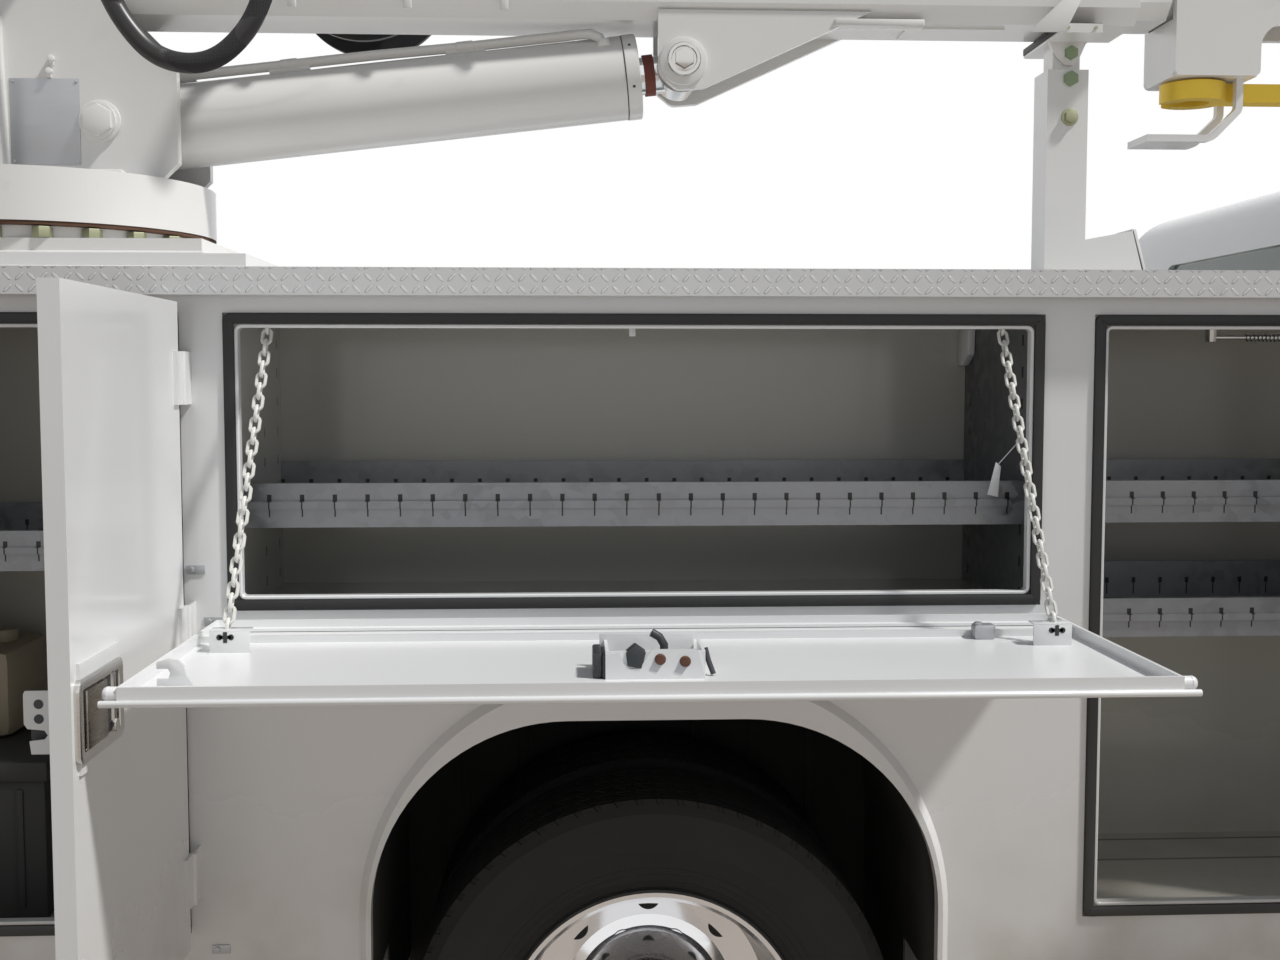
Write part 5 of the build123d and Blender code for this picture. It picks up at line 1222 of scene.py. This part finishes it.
    def boom(self) -> None:
        """Bosses, washers and bolts of the rod pin, straps and clips on the boom, sheave bolts and rope turns."""
        x, z = self.rod_pin
        with piece("rod_pin_bosses", CRANE, "boom") as boss:
            for s in (-1, 1):
                boss.rod((x, CRANE_Y + s * 0.079, z), (0, s * 0.011, 0), 0.040, sides=40, bevel=0.002)
            boss.block((-1.144, -0.990), (CRANE_Y - 0.0845, CRANE_Y - 0.052), (2.0945, 2.1070), 0.003)
            for clip, top in ((-2.05, 2.140), (-1.86, 2.144), (-1.70, 2.148)):
                boss.block((clip - 0.007, clip + 0.007), (CRANE_Y - 0.0935, CRANE_Y - 0.084), (2.112, top), 0.002)
        with piece("rod_pin_bolts", STAINLESS, "boom") as steel:
            for s in (-1, 1):
                y = CRANE_Y + s * 0.102
                steel.rod((x, y, z), (0, s * 0.004, 0), 0.0285, sides=40, bevel=0.001)
                steel.spun([(0.0265, -0.0005), (0.0285, 0.003), (0.0265, 0.0062), (0.0215, 0.0062)],
                           (x, y, z), (0, s, 0), COARSE)
                steel.rod((x, y + s * 0.003, z), (0, s * 0.012, 0), 0.0175, sides=HEXAGON, bevel=0.0015)
        with piece("sheave_bolts", BOLT, "boom_tip") as sheave:
            for s in (-1, 1):
                y = CRANE_Y + s * 0.069
                sheave.rod((-0.2395, y, 2.190), (0, s * 0.010, 0), 0.026, sides=HEXAGON, bevel=0.002)
                sheave.rod((-0.2395, y - s * 0.002, 2.190), (0, s * 0.005, 0), 0.036, sides=32, bevel=0.001)
        with piece("winch_rope_turns", SATIN, "boom") as drum:
            for k in range(ROPE_TURNS):
                drum.spun([(0.079, -0.0026), (0.0835, -0.0018), (0.0845, 0.0), (0.0835, 0.0018), (0.079, 0.0026)],
                          (CRANE_X + 0.540, CRANE_Y + 0.0995 + k * 0.0053, 2.250), (0, 1, 0), COARSE)

    def rest(self) -> None:
        """Ear plate, marked bolts, rubber pad and side wing of the boom rest."""
        x, near = REAR_AXLE_X + 0.732, CRANE_Y - 0.036
        with piece("boom_rest_ear", CRANE, "root") as ear:
            for y, outline, thickness, bevel in (
                    (near + 0.012, ((-0.034, 2.0855), (0.034, 2.0855), (0.022, 2.058), (0.010, 2.045), (-0.004, 2.045),
                                    (-0.018, 2.058)), -0.006, 0.001),
                    (-1.001, ((-0.092, 2.0835), (-0.030, 2.0835), (-0.002, 2.1400), (-0.022, 2.1500)), 0.006, 0.0012),
                    (near, ((0.141, 1.679), (0.149, 1.679), (0.127, 1.762), (0.119, 1.762)), 0.072, 0.0008)):
                ear.plate([(x + ahead, y, z) for ahead, z in outline], (0, thickness, 0), bevel)
        with piece("boom_rest_marked_bolts", GREEN_BOLT, "root") as marked:
            marked.rod((x + 0.006, near + 0.008, 2.0655), (0, -0.009, 0), 0.0125, sides=HEXAGON, bevel=0.0015)
            marked.rod((x + 0.004, near + 0.001, 2.020), (0, -0.009, 0), 0.0135, sides=HEXAGON, bevel=0.0015)
        with piece("boom_rest_bolt", BOLT, "root") as plain:
            plain.rod((x + 0.004, near + 0.001, 1.9545), (0, -0.004, 0), 0.0150, sides=28, bevel=0.001)
            plain.rod((x + 0.004, near, 1.9545), (0, -0.011, 0), 0.0115, sides=HEXAGON, bevel=0.0012)
            for ahead in (-0.024, 0.024):
                plain.rod((x + ahead, -0.9945, 2.0920), (0, -0.003, 0), 0.0028, sides=12)
        with piece("boom_rest_pad", SEAL, "root") as pad:
            pad.block((x - 0.0375, x + 0.0375), (CRANE_Y - 0.0985, CRANE_Y + 0.1015), (2.0880, 2.1010), 0.002)


@dataclass
class CabDress:
    """Trim of the cab: grille frame, lamp bowls, bumper bolts, wipers, marker lamps, mirrors and door handles."""

    nose: float = FRONT_AXLE_X + 0.870
    screen_foot: float = FRONT_AXLE_X - 0.330
    mirror_y: Span = (1.0685, 1.2615)
    mirror_z: Span = (1.3585, 1.7115)

    def build(self) -> None:
        """Make the cab's trim."""
        self.front()
        self.screen()
        for side in Side:
            self.door(side)

    def front(self) -> None:
        """Grille frame, lamp bowls and bumper bolts."""
        section = ((-0.004, 0.0), (0.0, 0.010), (0.012, 0.013), (0.024, 0.009), (0.030, -0.006), (0.026, -0.012),
                   (0.0, -0.012))
        with piece("grille_frame", CHROME, "root") as grille:
            grille.rim((-0.560, 0.560), (0.800, 1.120), 0.040, [(inset, self.nose + rise) for inset, rise in section],
                       turned=True)
        with piece("head_lamp_bowls", CHROME, "root") as bowl:
            for bowl.side in Side:
                for y in (0.675, 0.790):
                    bowl.spun([(0.0, -0.080), (0.030, -0.078), (0.050, -0.062), (0.056, -0.040), (0.052, -0.040),
                               (0.046, -0.060), (0.028, -0.074), (0.0, -0.076)], (self.nose, y, 0.995), (1, 0, 0), 36)
        with piece("bumper_bolts", STAINLESS, "root") as bolts:
            for bolts.side in Side:
                for z in (0.53, 0.64):
                    bolts.rod((self.nose + 0.091, 0.395, z), (0.0035, 0, 0), 0.016, bevel=0.0015)

    def screen(self) -> None:
        """Wipers on the windscreen, and marker lamps on the roof."""
        sweep = -0.50
        with piece("wipers", BLACK, "root") as wiper:
            for y in (0.62, -0.10):
                pivot, elbow = self.on_screen(0.02, y, 0.012), self.on_screen(0.13, y + sweep * 0.35, 0.020)
                wiper.rod(pivot - Vector((0.01, 0, 0.012)), (0.022, 0, 0.028), 0.014, 0.010, sides=18, bevel=0.002)
                wiper.pipe([pivot, elbow, self.on_screen(0.20, y + sweep * 0.62, 0.016)], 0.005, 8)
                wiper.pipe([self.on_screen(rise, y + sweep * share, off) for rise, share, off in
                            ((0.115, 0.16, 0.010), (0.20, 0.62, 0.012), (0.29, 1.12, 0.010))], 0.006, 8)
        with piece("roof_marker_lamps", AMBER_LENS, "root") as lamps:
            for y in (-0.50, -0.15, 0.0, 0.15, 0.50):
                lamps.rod((1.150, y, 1.960), (0, 0, 0.025), 0.026, 0.018, bevel=0.005)

    def on_screen(self, rise: float, y: float, off: float) -> Vector:
        """Point off the windscreen, a distance up its slope."""
        slope, normal = Vector((-0.728, 0.0, 0.6856)), Vector((0.6856, 0.0, 0.728))
        return Vector((self.screen_foot - 0.02, y, 1.415)) + slope * rise + normal * off

    def door(self, side: Side) -> None:
        """Mirror glasses, black mirror housing and handle of a cab door."""
        body, x = f"cab_door_{side.label}", self.screen_foot - 0.240
        with piece(f"mirror_glass_{side.label}", HARD_CHROME, body, side) as glass:
            for z in ((1.455, 1.690), (1.375, 1.440)):
                glass.block((x - 0.0425, x - 0.039), (1.082, 1.248), z, 0.0015)
        y, z, deep = self.mirror_y, self.mirror_z, (x - 0.0400, x + 0.0515)
        with piece(f"mirror_housing_{side.label}", BLACK, body, side) as shell:
            shell.block((x - 0.0395, x + 0.0515), (y[0], y[0] + 0.0035), z, 0.001)
            shell.block((x + 0.0495, x + 0.0520), y, z, 0.001)
            shell.block(deep, y, (1.7095, 1.7125), 0.001)
            shell.block(deep, (y[1] - 0.0025, y[1]), z, 0.001)
            shell.block(deep, y, (1.3580, 1.3605), 0.001)
            shell.block((0.6600, 0.8150), (1.0000, 1.0285), (1.1775, 1.2145), 0.006)


@dataclass
class TailDress:
    """Lamp bezels, amber segments and hitch pin at the tail."""

    face: float = REAR_AXLE_X - 1.444
    hitch: Span = (REAR_AXLE_X - 1.680, 0.590)

    def build(self) -> None:
        """Make the tail's trim."""
        section = ((0.0, 0.022), (0.0, -0.002), (0.003, -0.004), (0.009, -0.004), (0.010, 0.0))
        with piece("tail_lamp_bezels", CHROME, "root") as bezel:
            for bezel.side in Side:
                bezel.rim((0.774, 0.906), (1.034, 1.346), 0.012, [(inset, self.face + rise) for inset, rise in section],
                          turned=True)
        with piece("tail_lamp_amber_segments", AMBER_LENS, "root") as amber:
            for amber.side in Side:
                amber.block((self.face - 0.002, self.face + 0.0005), (0.788, 0.892), (1.235, 1.330), 0.0008)
        x, z = self.hitch
        with piece("hitch_pin", STAINLESS, "root") as pin:
            pin.rod((x, -0.052, z), (0, 0.102, 0), 0.0078, sides=20, bevel=0.001)
            pin.rod((x, -0.066, z), (0, 0.016, 0), 0.0125, bevel=0.002)


@dataclass
class Seats:
    """Two stuffed cab seats on black pedestals."""

    x: float = FRONT_AXLE_X - 1.560
    floor: float = 0.8805
    lean: float = -11.5

    def build(self) -> None:
        """Make each seat's cushion, back, head rest and pedestal."""
        for side in Side:
            y = side.value * 0.430
            with piece(f"seat_pedestal_{side.label}", BLACK, "root") as base:
                base.block((self.x + 0.03, self.x + 0.49), (y - 0.20, y + 0.20), (self.floor, self.floor + 0.135),
                           0.012)
            for name, size, ahead, up, lean in (("cushion", (0.505, 0.500, 0.155), 0.262, 0.212, 0.0),
                                                ("back", (0.125, 0.480, 0.475), 0.030, 0.520, self.lean),
                                                ("head_rest", (0.095, 0.260, 0.125), -0.040, 0.826, self.lean)):
                self.pad(f"seat_{name}_{side.label}", size, Vector((self.x + ahead, y, self.floor + up)), lean)

    def pad(self, name: str, size: Point, centre: Vector, lean: float) -> None:
        """One crowned pad of a depth, width and height, leaning in degrees, whose sides pull in between its corners."""
        form = Form(name)
        bmesh.ops.create_cube(form.mesh, size=1.0)
        bmesh.ops.subdivide_edges(form.mesh, edges=form.mesh.edges[:], cuts=9, use_grid_fill=True)
        longest = 0 if size[0] < size[2] else 2
        for vert in form.mesh.verts:
            swell = [1.0 - (2.0 * vert.co[k]) ** 2 for k in range(3)]
            grown = [vert.co[k] * (0.86 + 0.14 * swell[(k + 1) % 3] * swell[(k + 2) % 3]) for k in range(3)]
            channel = 0.022 * math.exp(-((abs(vert.co.y) - 0.27) / 0.025) ** 2)
            grown[longest] *= 1.0 - channel * 4.0
            vert.co = grown
        bmesh.ops.smooth_vert(form.mesh, verts=form.mesh.verts[:], factor=0.5, use_axis_x=True, use_axis_y=True,
                              use_axis_z=True)
        place = Matrix.Translation(centre) @ Matrix.Rotation(math.radians(lean), 4, "Y") @ Matrix.Diagonal((*size, 1.0))
        bmesh.ops.transform(form.mesh, matrix=place, verts=form.mesh.verts[:])
        made = form.done(SEAT, "root", smooth=180.0)
        soft = made.modifiers.new("soft_edges", "SUBSURF")
        soft.levels = soft.render_levels = 1
        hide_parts("seats")


@dataclass
class WheelDress(SideDress):
    """Lug covers, hub dome, hand holes and rim bead of a chrome wheel simulator, with painted shade in the hand holes
    and the rim's barrel.
    """

    name: str
    x: float
    centre_y: float
    nut_face: float
    hole_face: float
    hub_face: float
    barrel: tuple[Span, ...] = ()
    bolt_circle: float = 0.1125
    hole_circle: float = 0.180
    nuts: int = 8

    def circle(self, radius: float, y: float, first: float) -> list[Point]:
        """A point for each nut, round a circle about the axle."""
        turns = [math.tau * (k + first) / self.nuts for k in range(self.nuts)]
        return [(self.x + radius * math.cos(turn), y, WHEEL_Z + radius * math.sin(turn)) for turn in turns]

    def build(self) -> None:
        """Dress one wheel."""
        name, axis = self.name, (0, 1, 0)
        with self.piece(f"lug_covers_{name}", CHROME, name) as chrome:
            for x, y, z in self.circle(self.bolt_circle, self.nut_face, 0.5):
                chrome.rod((x, y - 0.014, z), (0, 0.020, 0), 0.0215, bevel=0.002)
                chrome.rod((x, y + 0.004, z), (0, 0.026, 0), 0.0175, 0.0150, sides=HEXAGON, bevel=0.002)
                chrome.rod((x, y + 0.028, z), (0, 0.010, 0), 0.0150, 0.0085, sides=20, bevel=0.003)
            chrome.spun([(0.0, 0.036), (0.030, 0.034), (0.058, 0.022), (0.068, 0.004), (0.070, -0.02), (0.0, -0.02)],
                        (self.x, self.hub_face, WHEEL_Z), axis, 48)
            chrome.spun([(0.236, 0.094), (0.2515, 0.096), (0.2535, 0.102), (0.2505, 0.1065), (0.243, 0.106),
                         (0.236, 0.100)], (self.x, self.centre_y, WHEEL_Z), axis, RING)
        # The barrel band is near-black chrome standing in for the shade inside the rim: painted shade.
        if self.barrel:
            with self.piece(f"rim_barrel_{name}", RIM_SHADOW, name) as band:
                band.spun(self.barrel, (self.x, self.centre_y, WHEEL_Z), axis, RING)
        # Black discs fill the hand holes: painted shade seen through them.
        with self.piece(f"hand_holes_{name}", BLACK, name) as holes:
            for x, y, z in self.circle(self.hole_circle, self.hole_face, 0.0):
                holes.rod((x, y - 0.004, z), (0, 0.0052, 0), 0.021, sides=28)


REAR_BARREL = ((0.2355, 0.090), (0.2235, 0.040), (0.2050, -0.050), (0.2065, -0.050), (0.2255, 0.040), (0.2375, 0.090))


def main() -> None:
    """Build the truck's looks in order and report each part."""
    logging.basicConfig(level=logging.INFO, format="%(name)s: %(message)s")
    Studio().build()
    CraneHose().build()
    log.info("studio and crane hose")
    CadFinishes().build()
    log.info("finishes of the CAD nodes")
    for side in Side:
        for dress in (OpeningTrim(side), DoorChains(side), DropDoorDress(side),
                      UprightDoorDress(side, "rear_door", -2.1795, 1.731),
                      UprightDoorDress(side, "front_door", -0.0575, 1.956, bracket_inset=0.066), CompartmentFit(side),
                      WheelDress(side, "rear_wheels", REAR_AXLE_X, 1.018, 0.957, 0.9530, 1.096, REAR_BARREL),
                      WheelHouse(side), WheelDress(side, "front_wheel", FRONT_AXLE_X, 0.905, 1.036, 0.9935, 1.045)):
            dress.build()
        log.info("%s side: seals, chains, doors, compartments and wheels", side.label)
    ChainTag().build()
    CraneDress().build()
    log.info("crane")
    for dress in (CabDress(), TailDress(), Seats()):
        dress.build()
    log.info("cab and tail")


if __name__ == "__main__":
    main()
